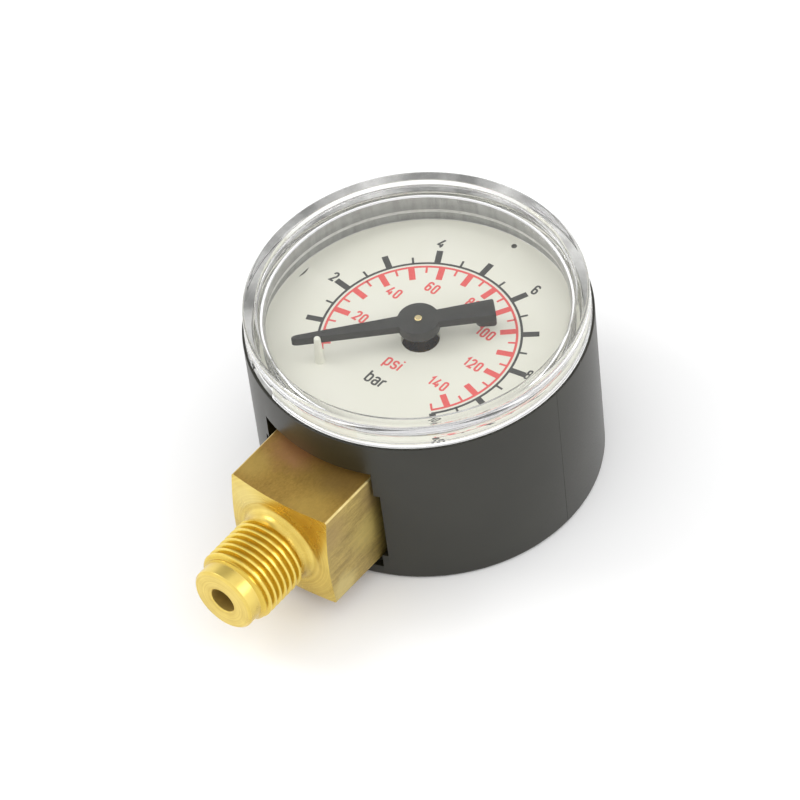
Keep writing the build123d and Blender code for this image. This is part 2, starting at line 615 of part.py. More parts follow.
def make_hairspring():
    """Flat spiral of half rings, each half a quarter pitch further from the last one's centre."""
    half_strip = HAIRSPRING_STRIP / 2
    growth = HAIRSPRING_PITCH / 2
    coil = Sketch()
    for half in range(2 * HAIRSPRING_TURNS):
        inner = COLLET_R + half_strip + half * growth
        side = 1 if half % 2 == 0 else -1
        centre = -side * growth / 2
        mean_r = inner + growth / 2
        ring = Circle(mean_r + half_strip) - Circle(mean_r - half_strip)
        half_plane = Pos(0, side * 2 * mean_r) * Rectangle(4 * mean_r, 4 * mean_r)
        coil += Pos(centre, 0) * (ring & half_plane)
    height = HAIRSPRING_Z[1] - HAIRSPRING_Z[0]
    return extrude(Pos(0, 0, HAIRSPRING_Z[0]) * coil, amount=height)


def make_hairspring_collet():
    return cylinder_z(COLLET_R, *COLLET_Z) - cylinder_z(SPINDLE_R, *COLLET_Z)


def make_hairspring_stud():
    centre = hairspring_end_r()
    half = STUD_WIDTH / 2
    return box_between(centre - half, centre + half, 0, STUD_WIDTH, BACK_PLATE_Z[1], STUD_TOP_Z)


save(make_case(), "case")
save(make_case_screws(), "case_screws")
save(make_socket(), "socket")
save(make_dial(), "dial")
save(make_window(), "window")
save(make_pointer(), "pointer")
save(make_pinion_spindle(), "pinion_spindle")
save(make_hairspring_collet(), "hairspring_collet")
save(make_hairspring(), "hairspring")
save(make_hairspring_stud(), "hairspring_stud")
save(make_sector_gear(), "sector_gear")
save(make_sector_arbor(), "sector_arbor")
save(make_link_rivet(TAIL_PIN), "link_rivet_sector")
save(make_link(), "link")
save(make_link_rivet(TIP_PIN), "link_rivet_tip")
save(make_bourdon_tube(), "bourdon_tube")
save(make_tube_end_piece(), "tube_end_piece")
save(make_back_plate(), "back_plate")
save(make_front_plate(), "front_plate")
save(make_pillar_screws(), "pillar_screws")
save(make_post_screws(), "post_screws")
for number, centre in enumerate(PILLARS, start=1):
    save(make_pillar(centre), f"pillar_{number}")
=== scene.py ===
"""Looks of a 40 mm pressure gauge: clear snap-in window, printed dial, black case, turned brass stem."""

import math

import bmesh
import bpy
from mathutils import Matrix, Vector


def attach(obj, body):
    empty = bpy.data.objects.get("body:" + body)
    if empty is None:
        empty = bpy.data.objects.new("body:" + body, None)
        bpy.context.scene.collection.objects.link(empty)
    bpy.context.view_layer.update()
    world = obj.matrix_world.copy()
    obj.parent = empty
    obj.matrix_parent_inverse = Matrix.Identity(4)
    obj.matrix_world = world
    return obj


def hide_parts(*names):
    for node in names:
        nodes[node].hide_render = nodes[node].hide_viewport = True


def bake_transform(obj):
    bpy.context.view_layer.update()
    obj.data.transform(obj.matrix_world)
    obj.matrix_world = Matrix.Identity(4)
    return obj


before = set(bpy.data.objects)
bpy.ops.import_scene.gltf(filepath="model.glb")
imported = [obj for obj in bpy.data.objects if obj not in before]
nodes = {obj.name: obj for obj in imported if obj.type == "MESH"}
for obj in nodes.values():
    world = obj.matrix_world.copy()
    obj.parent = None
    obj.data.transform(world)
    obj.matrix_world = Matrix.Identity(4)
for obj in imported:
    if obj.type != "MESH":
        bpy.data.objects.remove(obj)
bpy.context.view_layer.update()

MM = 0.001

# ---- camera and picture ----
CAMERA_AZIMUTH = 43.30
CAMERA_ELEVATION = 47.61
CAMERA_ROLL = -7.17
CAMERA_DISTANCE = 1008.86
CAMERA_AIM = (0.066, -4.853, 13.125)
CAMERA_LENS, SENSOR_WIDTH = 389.15, 36.0

# ---- light ----
DARK_SKY_DIRECTION = (-0.462, 0.491, 0.739)
DARK_SKY_RAMP = ((0.84, 1.0), (0.985, 0.5))  # cosine of the angle from that direction, and brightness
SKY_STRENGTH = 1.24
LIGHT_PATHS = 28  # the window carries light across itself over a dozen reflections
LAMP_AIM = (0, 0, 0.01)
SOFTBOXES = (  # name, place, size in metres, power in watts
    ("key", (-0.45, -0.25, 0.5), (0.25, 0.25), 0.9),
    ("side", (0.5, 0.25, 0.4), (0.2, 0.3), 0.5),
)
FLOOR_HALF, FLOOR_CORNER_R, FLOOR_DEPTH = 900, 200, 2

# ---- sizes in mm, within 0.1 mm of the CAD's where it has them too ----
FIT_GAP = 0.02  # room between pieces that touch in the CAD
SHARP_ANGLE = 35.0  # edges that turn by more degrees stay sharp
CASE_R_BACK, CASE_R_RIM, CASE_RIM_Z = 20.24, 20.58, 22.74
CASE_FLOOR, CASE_BORE_R, CASE_MOUTH_R, DIAL_LEDGE_Z = 1.6, 18.4, 19.3, 17.6
OPENING_X, OPENING_HALF, OPENING_NOTCH_HALF = -0.5, 7.9, 8.6
OPENING_Z, OPENING_NOTCH_Z = (1.65, 18.0), (3.65, 14.2)
CASE_SCREW_X, CASE_SCREW_Y, CASE_SCREW_R, CASE_SCREW_HEAD_R, SCREW_PAD_R = 4.4, -16.9, 1.1, 2.0, 2.6
SCREW_HOLE_DEPTH = 2.5
MOULD_LINE_ANGLES, MOULD_LINE_HALF = (-1.2, 178.8), 0.14  # degrees
MOULD_LINE_DEPTH = 0.035
RIM_SEAT_R = 20.2  # edge of the part of the rim that the window's flange covers
DIAL_R, DIAL_TOP_Z, DIAL_HOLE_R = 19.15, 18.6, 2.25
DIMPLE_R, DIMPLE_RADIUS, DIMPLE_DEPTH = 0.35, 17.65, 0.4
SLIT_RADIUS, SLIT_START, SLIT_SPAN, SLIT_WIDTH = 17.98, 175, 6, 0.24
STOP_PIN = (12.05, 230.9, 0.6, 0.38, 22.6)  # radius on dial, angle, base r, top r, top z
WINDOW_R, WINDOW_FLANGE_R, WINDOW_TOP_Z, WINDOW_FLANGE_TOP_Z = 20.24, 20.29, 26.4, 23.65
WINDOW_LAND_R, WINDOW_SHOULDER = 18.75, 0.45
LENS_TOP_Z, LENS_UNDER_Z, LENS_EDGE_R = 25.45, 23.65, 18.7
SKIRT_OUTER_R, SKIRT_INNER_R, SKIRT_END_Z, UNDER_FILLET = 19.15, 18.5, 20.3, 0.85
LIP_INNER_R = 18.85  # thin lip under the skirt, down to the dial
MATT_BAND, MATT_FOOT = 0.5, 0.2  # heights of the matt bands at the skirt's end and at the lip's foot, whose pale colour is a painted highlight
NOTCH_ANGLES, NOTCH_INNER_R, NOTCH_TOP_Z = (236.8, 251.8), 19.6, 24.1
POINTER_ANGLE, POINTER_TOP_Z, POINTER_THICKNESS = 225.5, 21.98, 1.1
POINTER_LENGTH, POINTER_ROOT_HALF, POINTER_TIP_HALF = 14.95, 1.0, 0.4
POINTER_HUB_R, POINTER_HUB_HEIGHT, SPINDLE_R = 2.5, 1.46, 0.47
TAIL_LENGTH, TAIL_END_HALF, TAIL_CORNER_R, WEIGHT_LENGTH, WEIGHT_EXTRA = 9.0, 1.32, 0.25, 2.4, 0.98
STEM_Z, SOCKET_HALF, SOCKET_LOW_Z = 9.72, 7.0, 2.72
SOCKET_FACE_Y, SOCKET_FACE_R, SOCKET_CORNER_Y, SOCKET_BACK_Y = -27.75, 6.2, -27.06, -16.6
SOCKET_EDGE_R, FILLET_R, RELIEF_R = 0.36, 1.35, 4.3
POST_HALF, POST_END_Y, POST_Z = 3.2, -10.8, (5.0, 14.0)
FOOT_HALF, FOOT_END_Y, FOOT_TOP_Z = 6.6, -14.8, 7.0
THREAD_MAJOR_R, THREAD_MINOR_R, THREAD_PITCH = 4.864, 4.283, 0.907
THREAD_START_Y, THREAD_END_Y = -29.243, -36.1
NOSE_R, NOSE_END_Y, NOSE_CHAMFER, PORT_R, PORT_END_Y, FEED_R = 4.15, -38.6, 0.3, 1.65, -17.8, 0.45
TUBE_MEAN_R, TUBE_WIDTH, TUBE_THICKNESS, TUBE_WALL = 12.6, 5.0, 1.3, 0.2
TUBE_ROOT, TUBE_TIP, TUBE_STEPS, TUBE_SIDES = 270.0, -20.0, 116, 32
BRASS_METALLIC, LATHE_RING_PITCH = 0.92, 0.36

# ---- dial printing ----
PRINT_Z = DIAL_TOP_Z + 0.012
PRINT_LOW_Z = DIAL_TOP_Z - 0.02
PRINT_STEP, PRINT_LEVELS = 0.0008, 12  # strokes lie at stepped heights, so that crossing ones share no plane
PRINT_CENTRE = (-0.04, -0.13)  # the print sits a little off the dial's centre
PRINT_TWIST = -0.74  # degrees the upright lettering leans
SCALE_ZERO, SCALE_SWEEP, BAR_FULL = 226.6, 271.7, 10
PSI_PER_BAR, PSI_LAST = 14.5038, 145
BOLD_TICK, FINE_TICK, ARC_WIDTH, ARC_STEPS, ARC_OVERRUN = 0.76, 0.26, 0.29, 180, 0.5
BAR_ARC_R, BAR_BOLD_R, BAR_THIN_R = 11.95, 13.98, 12.95
PSI_ARC_R, PSI_BOLD_R, PSI_THIN_R = 11.39, 9.4, 10.4
BAR_ARC_START, PSI_ARC_START = 213.0, 222.0
FIGURE_HEIGHT, LETTER_HEIGHT, STROKE, LETTER_GAP = 1.55, 1.88, 0.25, 0.17
BAR_FIGURES = {
    "2": (-14.4, 2.2),
    "4": (-7.07, 13.41),
    "6": (6.68, 13.61),
    "8": (14.1, 2.5),
    "10": (10.6, -10.6),
}
PSI_FIGURES = {
    "20": (-7.86, -1.17),
    "40": (-7.0, 4.11),
    "60": (-3.65, 7.15),
    "80": (1.85, 7.8),
    "100": (5.91, 4.91),
    "120": (7.7, 0.26),
    "140": (6.15, -4.39),
}
PSI_NAME, BAR_NAME = (-0.13, -4.66), (-0.24, -7.86)

# Strokes of the characters along their middle line, for a height of one: corners of (x, y, rounding).
LOOP = ((0, 0, 0.19), (0.38, 0, 0.19), (0.38, 1, 0.19), (0, 1, 0.19))
BOWL = ((0, 0, 0.17), (0.36, 0, 0.17), (0.36, 0.7, 0.17), (0, 0.7, 0.17))
CHARACTERS = {  # width, closed strokes, open strokes
    "0": (0.38, (LOOP,), ()),
    "1": (0.22, (), (((0, 0.76, 0), (0.2, 1, 0), (0.2, 0, 0)),)),
    "2": (
        0.38,
        (),
        (((0, 0.78, 0), (0, 1, 0.19), (0.38, 1, 0.19), (0.38, 0.6, 0.15), (0, 0, 0), (0.4, 0, 0)),),
    ),
    "4": (0.48, (), (((0.27, 1, 0), (0, 0.25, 0), (0.48, 0.25, 0)), ((0.35, 0.5, 0), (0.35, 0, 0)))),
    "6": (
        0.38,
        (((0, 0, 0.19), (0.38, 0, 0.19), (0.38, 0.56, 0.19), (0, 0.56, 0.19)),),
        (((0.37, 0.82, 0), (0.37, 1, 0.17), (0, 1, 0.19), (0, 0.3, 0)),),
    ),
    "8": (
        0.38,
        (
            ((0, 0, 0.19), (0.38, 0, 0.19), (0.38, 0.53, 0.19), (0, 0.53, 0.19)),
            ((0.02, 0.53, 0.17), (0.36, 0.53, 0.17), (0.36, 1, 0.17), (0.02, 1, 0.17)),
        ),
        (),
    ),
    "b": (0.36, (BOWL,), (((0, 1, 0), (0, 0, 0)),)),
    "a": (
        0.36,
        (((0, 0, 0.15), (0.36, 0, 0.1), (0.36, 0.4, 0.05), (0, 0.4, 0.15)),),
        (((0.02, 0.57, 0), (0.02, 0.7, 0.12), (0.36, 0.7, 0.15), (0.36, 0, 0)),),
    ),
    "r": (0.24, (), (((0, 0.7, 0), (0, 0, 0)), ((0, 0.45, 0), (0, 0.7, 0.2), (0.26, 0.7, 0)))),
    "p": (0.36, (BOWL,), (((0, 0.7, 0), (0, -0.26, 0)),)),
    "s": (
        0.34,
        (),
        (
            (
                (0.33, 0.56, 0),
                (0.33, 0.7, 0.13),
                (0, 0.7, 0.15),
                (0, 0.36, 0.15),
                (0.34, 0.36, 0.15),
                (0.34, 0, 0.15),
                (0, 0, 0.13),
                (0, 0.14, 0),
            ),
        ),
    ),
    "i": (0.0, (), (((0, 0.7, 0), (0, 0, 0)), ((0, 0.9, 0), (0, 1.02, 0)))),
}


# ---------------------------------------------------------------- mesh helpers
def new_object(name, bm, sharp=SHARP_ANGLE):
    """Object from a bmesh in mm, smooth shaded with edges sharp above an angle."""
    bmesh.ops.recalc_face_normals(bm, faces=bm.faces)
    mesh = bpy.data.meshes.new(name)
    bm.to_mesh(mesh)
    bm.free()
    mesh.transform(Matrix.Scale(MM, 4))
    mesh.shade_smooth()
    mesh.set_sharp_from_angle(angle=math.radians(sharp))
    obj = bpy.data.objects.new(name, mesh)
    bpy.context.scene.collection.objects.link(obj)
    return obj


def rounded(corners, steps=4):
    """Polyline of (a, b) from corners (a, b, radius), each corner rounded by its radius."""
    points = []
    count = len(corners)
    for i, (a, b, radius) in enumerate(corners):
        here = Vector((a, b))
        if radius == 0:
            points.append(here)
            continue
        to_last = (Vector(corners[i - 1][:2]) - here).normalized()
        to_next = (Vector(corners[(i + 1) % count][:2]) - here).normalized()
        half = to_last.angle(to_next) / 2
        reach = radius / math.tan(half)
        centre = here + (to_last + to_next).normalized() * radius / math.sin(half)
        first = here + to_last * reach - centre
        last = here + to_next * reach - centre
        turn = first.angle_signed(last)
        for k in range(steps + 1):
            points.append(centre + first @ Matrix.Rotation(turn * k / steps, 2))
    return points


def lathe(bm, profile_at, angles, axis="Z", centre=(0, 0, 0)):
    """Turns a profile of (radius, height) about an axis; profile_at(angle) may vary round the turn."""
    columns = []
    for angle in angles:
        ring = []
        for radius, height in profile_at(angle):
            across = radius * math.cos(math.radians(angle))
            along = radius * math.sin(math.radians(angle))
            place = (across, along, height) if axis == "Z" else (across, height, along)
            ring.append(bm.verts.new(Vector(place) + Vector(centre)))
        columns.append(ring)
    for i, ring in enumerate(columns):
        other = columns[(i + 1) % len(columns)]
        for k in range(len(ring)):
            n = (k + 1) % len(ring)
            bm.faces.new((ring[k], other[k], other[n], ring[n]))
    bmesh.ops.remove_doubles(bm, verts=bm.verts, dist=1e-5)


def even(count):
    return [360 * i / count for i in range(count)]


def polar(radius, angle):
    return radius * math.cos(math.radians(angle)), radius * math.sin(math.radians(angle))


def prism(bm, outline, layers, hole=()):
    """Plate from an outline, with (inset, z) layers from low to high, and an optional round hole."""
    count = len(outline)
    points = [Vector(p) for p in outline]
    normals = []
    for i in range(count):
        edge = points[(i + 1) % count] - points[i - 1]
        normals.append(Vector((edge.y, -edge.x)).normalized())
    rings = []
    for inset, z in layers:
        rings.append([bm.verts.new((*(p - n * inset), z)) for p, n in zip(points, normals)])
    for low, high in zip(rings, rings[1:]):
        for i in range(count):
            j = (i + 1) % count
            bm.faces.new((low[i], low[j], high[j], high[i]))
    holes = []
    if hole:
        for z in (layers[0][1], layers[-1][1]):
            holes.append([bm.verts.new((*polar(hole[0], a), z)) for a in even(hole[1])])
        for i in range(hole[1]):
            j = (i + 1) % hole[1]
            bm.faces.new((holes[0][j], holes[0][i], holes[1][i], holes[1][j]))
    for k, ring in enumerate((rings[0], rings[-1])):
        if not hole:
            bm.faces.new(ring)
            continue
        edges = []
        for loop in (ring, holes[k]):
            for i in range(len(loop)):
                pair = (loop[i], loop[(i + 1) % len(loop)])
                edges.append(bm.edges.get(pair) or bm.edges.new(pair))
        bmesh.ops.triangle_fill(bm, edges=edges, use_beauty=True)


def box_mesh(bm, low, high):
    made = bmesh.ops.create_cube(bm, size=1)
    size = Vector(high) - Vector(low)
    middle = (Vector(high) + Vector(low)) / 2
    for vert in made["verts"]:
        vert.co = Vector(vert.co[i] * size[i] for i in range(3)) + middle


def apply_modifiers(obj):
    graph = bpy.context.evaluated_depsgraph_get()
    mesh = bpy.data.meshes.new_from_object(obj.evaluated_get(graph))
    obj.modifiers.clear()
    obj.data = mesh


def cut(obj, tool):
    """Cuts the tool's solid out of the object and removes the tool."""
    modifier = obj.modifiers.new("cut", "BOOLEAN")
    modifier.operation = "DIFFERENCE"
    modifier.solver = "EXACT"
    modifier.object = tool
    apply_modifiers(obj)
    bpy.data.objects.remove(tool)
    obj.data.shade_smooth()
    obj.data.set_sharp_from_angle(angle=math.radians(SHARP_ANGLE))


def finish_with(obj, material, body):
    obj.data.materials.clear()
    obj.data.materials.append(material)
    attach(obj, body)


# ---------------------------------------------------------------- material helpers
class Nodes:
    """Small wrapper round one material's node tree."""

    def __init__(self, name):
        self.material = bpy.data.materials.new(name)
        self.material.use_nodes = True
        self.tree = self.material.node_tree
        self.tree.nodes.clear()
        self.output = self.add("ShaderNodeOutputMaterial")
        self.shader = self.add("ShaderNodeBsdfPrincipled")
        self.link(self.shader, "BSDF", self.output, "Surface")
        self.place = self.add("ShaderNodeTexCoord")

    def add(self, kind, **settings):
        node = self.tree.nodes.new(kind)
        for key, value in settings.items():
            setattr(node, key, value)
        return node

    def link(self, node, socket, other, into):
        self.tree.links.new(node.outputs[socket], other.inputs[into])

    def set(self, **values):
        for key, value in values.items():
            self.shader.inputs[key.replace("_", " ")].default_value = value

    def mapped(self, scale):
        """Object coordinates scaled to mm times scale, along each axis."""
        mapping = self.add("ShaderNodeMapping")
        self.link(self.place, "Object", mapping, "Vector")
        mapping.inputs["Scale"].default_value = [s / MM for s in scale]
        return mapping

    def noise(self, scale, detail=3.0, roughness=0.5):
        mapping = self.mapped(scale)
        noise = self.add("ShaderNodeTexNoise")
        noise.inputs["Scale"].default_value = 1.0
        noise.inputs["Detail"].default_value = detail
        noise.inputs["Roughness"].default_value = roughness
        self.link(mapping, "Vector", noise, "Vector")
        return noise

    def ramp(self, source, socket, stops):
        ramp = self.add("ShaderNodeValToRGB")
        elements = ramp.color_ramp.elements
        while len(elements) < len(stops):
            elements.new(0.5)
        for element, (position, colour) in zip(elements, stops):
            element.position = position
            element.color = colour if len(colour) == 4 else (*colour, 1)
        self.link(source, socket, ramp, "Fac")
        return ramp

    def mix(self, factor, a, b, blend="MIX"):
        """Colour mix; a and b are (node, socket) or a colour, and factor is (node, socket) or a number."""
        mix = self.add("ShaderNodeMix", data_type="RGBA", blend_type=blend)
        for value, index in ((factor, 0), (a, 6), (b, 7)):
            if isinstance(value, tuple) and isinstance(value[1], str):
                self.tree.links.new(value[0].outputs[value[1]], mix.inputs[index])
            else:
                mix.inputs[index].default_value = value if index == 0 else (*value, 1)
        return mix

    def colour(self, node, socket="Color"):
        self.link(node, socket, self.shader, "Base Color")

    def roughness(self, source, socket, low, high):
        spread = self.add("ShaderNodeMapRange")
        spread.inputs["To Min"].default_value = low
        spread.inputs["To Max"].default_value = high
        self.link(source, socket, spread, "Value")
        self.link(spread, "Result", self.shader, "Roughness")

    def bump(self, source, socket, depth):
        """Adds a bump of a depth in mm on top of any earlier one."""
        bump = self.add("ShaderNodeBump")
        bump.inputs["Distance"].default_value = depth * MM
        bump.inputs["Strength"].default_value = 1.0
        self.link(source, socket, bump, "Height")
        old = self.shader.inputs["Normal"].links
        if old:
            self.tree.links.new(old[0].from_socket, bump.inputs["Normal"])
        self.link(bump, "Normal", self.shader, "Normal")

    def patch(self, base, centre, size, colour, amount):
        """Colour over a base in a soft, ragged spot; centre and size in mm."""
        away = self.radius(centre, (1, 1, 1))
        ragged = self.noise((0.45, 0.45, 0.45), 4, 0.6)
        wobble = self.add("ShaderNodeMath", operation="MULTIPLY_ADD")
        self.link(ragged, "Fac", wobble, 0)
        wobble.inputs[1].default_value = -size
        self.link(away, "Value", wobble, 2)
        inside = self.add("ShaderNodeMapRange")
        inside.inputs["From Min"].default_value = -0.1 * size
        inside.inputs["From Max"].default_value = 0.6 * size
        inside.inputs["To Min"].default_value = amount
        inside.inputs["To Max"].default_value = 0.0
        self.link(wobble, "Value", inside, "Value")
        return self.mix((inside, "Result"), base, colour)

    def radius(self, centre, keep):
        """Distance from an axis in mm; keep has 1 for the axes that count."""
        shift = self.add("ShaderNodeVectorMath", operation="SUBTRACT")
        self.link(self.place, "Object", shift, 0)
        shift.inputs[1].default_value = [c * MM for c in centre]
        flat = self.add("ShaderNodeVectorMath", operation="MULTIPLY")
        self.tree.links.new(shift.outputs[0], flat.inputs[0])
        flat.inputs[1].default_value = [k / MM for k in keep]
        length = self.add("ShaderNodeVectorMath", operation="LENGTH")
        self.tree.links.new(flat.outputs[0], length.inputs[0])
        return length


def black_plastic():
    m = Nodes("black_moulded_plastic")
    m.set(IOR=1.5)
    cloud = m.noise((0.12, 0.12, 0.12), 4)
    m.colour(m.ramp(cloud, "Fac", ((0.3, (0.0095, 0.0092, 0.0045)), (0.7, (0.0135, 0.013, 0.007)))))
    grain = m.noise((6, 6, 6), 2)
    m.roughness(grain, "Fac", 0.3, 0.42)
    m.bump(grain, "Fac", 0.004)
    return m.material


def pointer_plastic():
    m = Nodes("pointer_black")
    m.set(IOR=1.45)
    cloud = m.noise((0.5, 0.5, 0.5), 3)
    m.colour(m.ramp(cloud, "Fac", ((0.3, (0.022, 0.022, 0.0185)), (0.7, (0.034, 0.034, 0.029)))))
    grain = m.noise((9, 9, 9), 2)
    m.roughness(grain, "Fac", 0.42, 0.55)
    m.bump(grain, "Fac", 0.004)
    return m.material


def clear_plastic():
    """Clear moulding that bends what is seen through it and lets lamps through to the dial."""
    m = Nodes("clear_window")
    m.set(IOR=1.49, Transmission_Weight=1.0)
    m.shader.inputs["Base Color"].default_value = (0.985, 0.985, 0.99, 1)
    haze = m.noise((0.25, 0.25, 0.25), 3)
    m.roughness(haze, "Fac", 0.0, 0.02)
    path = m.add("ShaderNodeLightPath")
    either = m.add("ShaderNodeMath", operation="MAXIMUM")
    m.link(path, "Is Shadow Ray", either, 0)
    m.link(path, "Is Diffuse Ray", either, 1)
    through = m.add("ShaderNodeBsdfTransparent")
    through.inputs["Color"].default_value = (0.96, 0.96, 0.96, 1)
    mix = m.add("ShaderNodeMixShader")
    m.link(either, "Value", mix, "Fac")
    m.link(m.shader, "BSDF", mix, 1)
    m.link(through, "BSDF", mix, 2)
    m.link(mix, "Shader", m.output, "Surface")
    return m.material


def painted_reflection_plastic(name, dark, light, scale):
    """Case's inner wall and rim as they look through the window: polished black plastic whose grey, mottled
    base colour is a painted reflection of the pale dial.
    """
    m = Nodes(name)
    m.set(IOR=1.5)
    streak = m.noise(scale, 4, 0.6)
    m.colour(m.ramp(streak, "Fac", ((0.35, dark), (0.65, light))))
    m.roughness(streak, "Fac", 0.25, 0.4)
    m.bump(streak, "Fac", 0.004)
    return m.material


def frosted_highlight_plastic():
    """Matt bands at the foot of the window's skirt: frosted, with a pale grey base colour that is a painted
    highlight of these edges catching the light.
    """
    m = Nodes("matt_band_painted_highlight")
    m.set(IOR=1.49, Transmission_Weight=0.35)
    streak = m.noise((1.2, 1.2, 3.0), 4, 0.6)
    m.colour(m.ramp(streak, "Fac", ((0.3, (0.55, 0.55, 0.52)), (0.7, (0.85, 0.85, 0.82)))))
    m.roughness(streak, "Fac", 0.25, 0.45)
    return m.material


def dial_plastic():
    m = Nodes("dial_cream")
    cloud = m.noise((0.1, 0.1, 0.1), 3)
    m.colour(m.ramp(cloud, "Fac", ((0.3, (0.755, 0.75, 0.64)), (0.7, (0.785, 0.78, 0.68)))))
    grain = m.noise((5, 5, 5), 2)
    m.roughness(grain, "Fac", 0.45, 0.55)
    m.bump(grain, "Fac", 0.001)
    return m.material


def print_ink(name, dark, light):
    m = Nodes(name)
    grain = m.noise((3, 3, 3), 3)
    m.colour(m.ramp(grain, "Fac", ((0.3, dark), (0.7, light))))
    m.roughness(grain, "Fac", 0.45, 0.6)
    return m.material


def turned_brass(name, patches=()):
    """Bright brass with the fine rings of a lathe tool round the stem."""
    m = Nodes(name)
    m.set(Metallic=BRASS_METALLIC)
    cloud = m.noise((0.3, 0.3, 0.3), 4, 0.55)
    rings = m.radius((0, 0, STEM_Z), (1, 0, 1))
    groove = m.add("ShaderNodeTexNoise", noise_dimensions="1D")
    groove.inputs["Scale"].default_value = 1 / LATHE_RING_PITCH
    groove.inputs["Detail"].default_value = 2.0
    m.link(rings, "Value", groove, "W")
    gold = m.ramp(cloud, "Fac", ((0.32, (0.64, 0.475, 0.11)), (0.68, (0.77, 0.60, 0.16))))
    tone = m.ramp(groove, "Fac", ((0.36, (0.90, 0.86, 0.78)), (0.64, (1.02, 1.02, 1.04))))
    base = (m.mix(1.0, (gold, "Color"), (tone, "Color"), "MULTIPLY"), "Result")
    for patch in patches:
        base = (m.patch(base, *patch), "Result")
    m.colour(*base)
    m.bump(groove, "Fac", 0.02)
    m.roughness(cloud, "Fac", 0.22, 0.34)
    return m.material


def thread_tarnish_and_shade_brass():
    """Cut thread: worn bright crests, and flanks darkening towards the root for tarnish and for painted shade
    in the thread's hollows.
    """
    m = Nodes("thread_tarnish_and_shade_brass")
    m.set(Metallic=BRASS_METALLIC)
    rings = m.radius((0, 0, STEM_Z), (1, 0, 1))
    depth = m.add("ShaderNodeMapRange")
    depth.inputs["From Min"].default_value = THREAD_MINOR_R
    depth.inputs["From Max"].default_value = THREAD_MAJOR_R
    m.link(rings, "Value", depth, "Value")
    # darker towards the thread's root: tarnish, and painted shade in the hollows
    flank, crest = (0.70, 0.51, 0.09), (0.80, 0.63, 0.16)
    stops = ((0.0, (0.62, 0.44, 0.08)), (0.45, flank), (0.8, (0.76, 0.57, 0.11)), (1.0, crest))
    shade = m.ramp(depth, "Result", stops)
    cloud = m.noise((0.5, 0.5, 0.5), 4, 0.6)
    spots = m.ramp(cloud, "Fac", ((0.45, (0, 0, 0)), (0.75, (0.5, 0.5, 0.5))))
    m.colour(m.mix((spots, "Color"), (shade, "Color"), (0.60, 0.41, 0.07)), "Result")
    scratch = m.noise((9, 2, 9), 3)
    m.bump(scratch, "Fac", 0.008)
    m.roughness(cloud, "Fac", 0.16, 0.3)
    return m.material


def drawn_brass(name, dark, light, patches=(), streak_scale=(5.0, 0.25, 5.0)):
    """Drawn bar stock, dulled by handling: grain along the stem and ragged coloured patches."""
    m = Nodes(name)
    m.set(Metallic=0.7)
    streak = m.noise(streak_scale, 6, 0.7)
    speck = m.noise((4.5, 3.0, 4.5), 4, 0.7)
    grain = m.ramp(streak, "Fac", ((0.3, dark), (0.7, light)))
    worn = m.ramp(speck, "Fac", ((0.35, (0.72, 0.72, 0.72)), (0.6, (1, 1, 1))))
    base = (m.mix(0.7, (grain, "Color"), (worn, "Color"), "MULTIPLY"), "Result")
    for patch in patches:
        base = (m.patch(base, *patch), "Result")
    m.colour(*base)
    m.roughness(streak, "Fac", 0.3, 0.48)
    m.bump(streak, "Fac", 0.014)
    return m.material


def plain_brass(name, dark, light, rough=(0.22, 0.34), metallic=1.0):
    m = Nodes(name)
    m.set(Metallic=metallic)
    cloud = m.noise((0.6, 0.6, 0.6), 4)
    m.colour(m.ramp(cloud, "Fac", ((0.3, dark), (0.7, light))))
    grain = m.noise((8, 1.5, 8), 3)
    m.roughness(grain, "Fac", *rough)
    m.bump(grain, "Fac", 0.004)
    return m.material


# ---------------------------------------------------------------- case
def wall_angles(count, extra):
    return sorted(set(round(a % 360, 4) for a in even(count) + list(extra)))


def make_case():
    corners = (
        (0, 0, 0),
        (CASE_R_BACK, 0, 0.5),
        (CASE_R_RIM, CASE_RIM_Z, 0.08),
        (RIM_SEAT_R, CASE_RIM_Z, 0),
        (CASE_MOUTH_R, CASE_RIM_Z, 0.08),
        (CASE_MOUTH_R, DIAL_LEDGE_Z, 0),
        (CASE_BORE_R, DIAL_LEDGE_Z, 0),
        (CASE_BORE_R, CASE_FLOOR, 0.3),
        (0, CASE_FLOOR, 0),
    )
    profile = rounded(corners)
    extra = []
    for angle in MOULD_LINE_ANGLES:
        extra += [angle - MOULD_LINE_HALF, angle, angle + MOULD_LINE_HALF]

    def at(angle):
        near = min(abs((angle - line + 180) % 360 - 180) for line in MOULD_LINE_ANGLES)
        depth = MOULD_LINE_DEPTH if near < MOULD_LINE_HALF / 2 else 0
        return [(r - depth if r > CASE_R_BACK - 0.1 else r, z) for r, z in profile]

    bm = bmesh.new()
    lathe(bm, at, wall_angles(288, extra))
    case = new_object("case_shell", bm)
    wall = (-CASE_R_RIM - 2, -CASE_BORE_R + 4)  # from outside the wall to well inside it
    openings = (("opening", OPENING_HALF, OPENING_Z), ("opening_step", OPENING_NOTCH_HALF, OPENING_NOTCH_Z))
    for name, half, (low, high) in openings:
        tool = bmesh.new()
        box_mesh(tool, (OPENING_X - half, wall[0], low), (OPENING_X + half, wall[1], high))
        cut(case, new_object(name, tool))
    hole_r, head_r = CASE_SCREW_R + FIT_GAP, CASE_SCREW_HEAD_R + FIT_GAP
    hole = (
        (0, -1),
        (head_r, -1),
        (head_r, 0),
        (hole_r, head_r - hole_r),
        (hole_r, SCREW_HOLE_DEPTH),
        (0, SCREW_HOLE_DEPTH),
    )
    for side in (-1, 1):
        tool = bmesh.new()
        lathe(tool, lambda angle: hole, even(64), centre=(side * CASE_SCREW_X, CASE_SCREW_Y, 0))
        cut(case, new_object("screw_hole", tool))
    return case


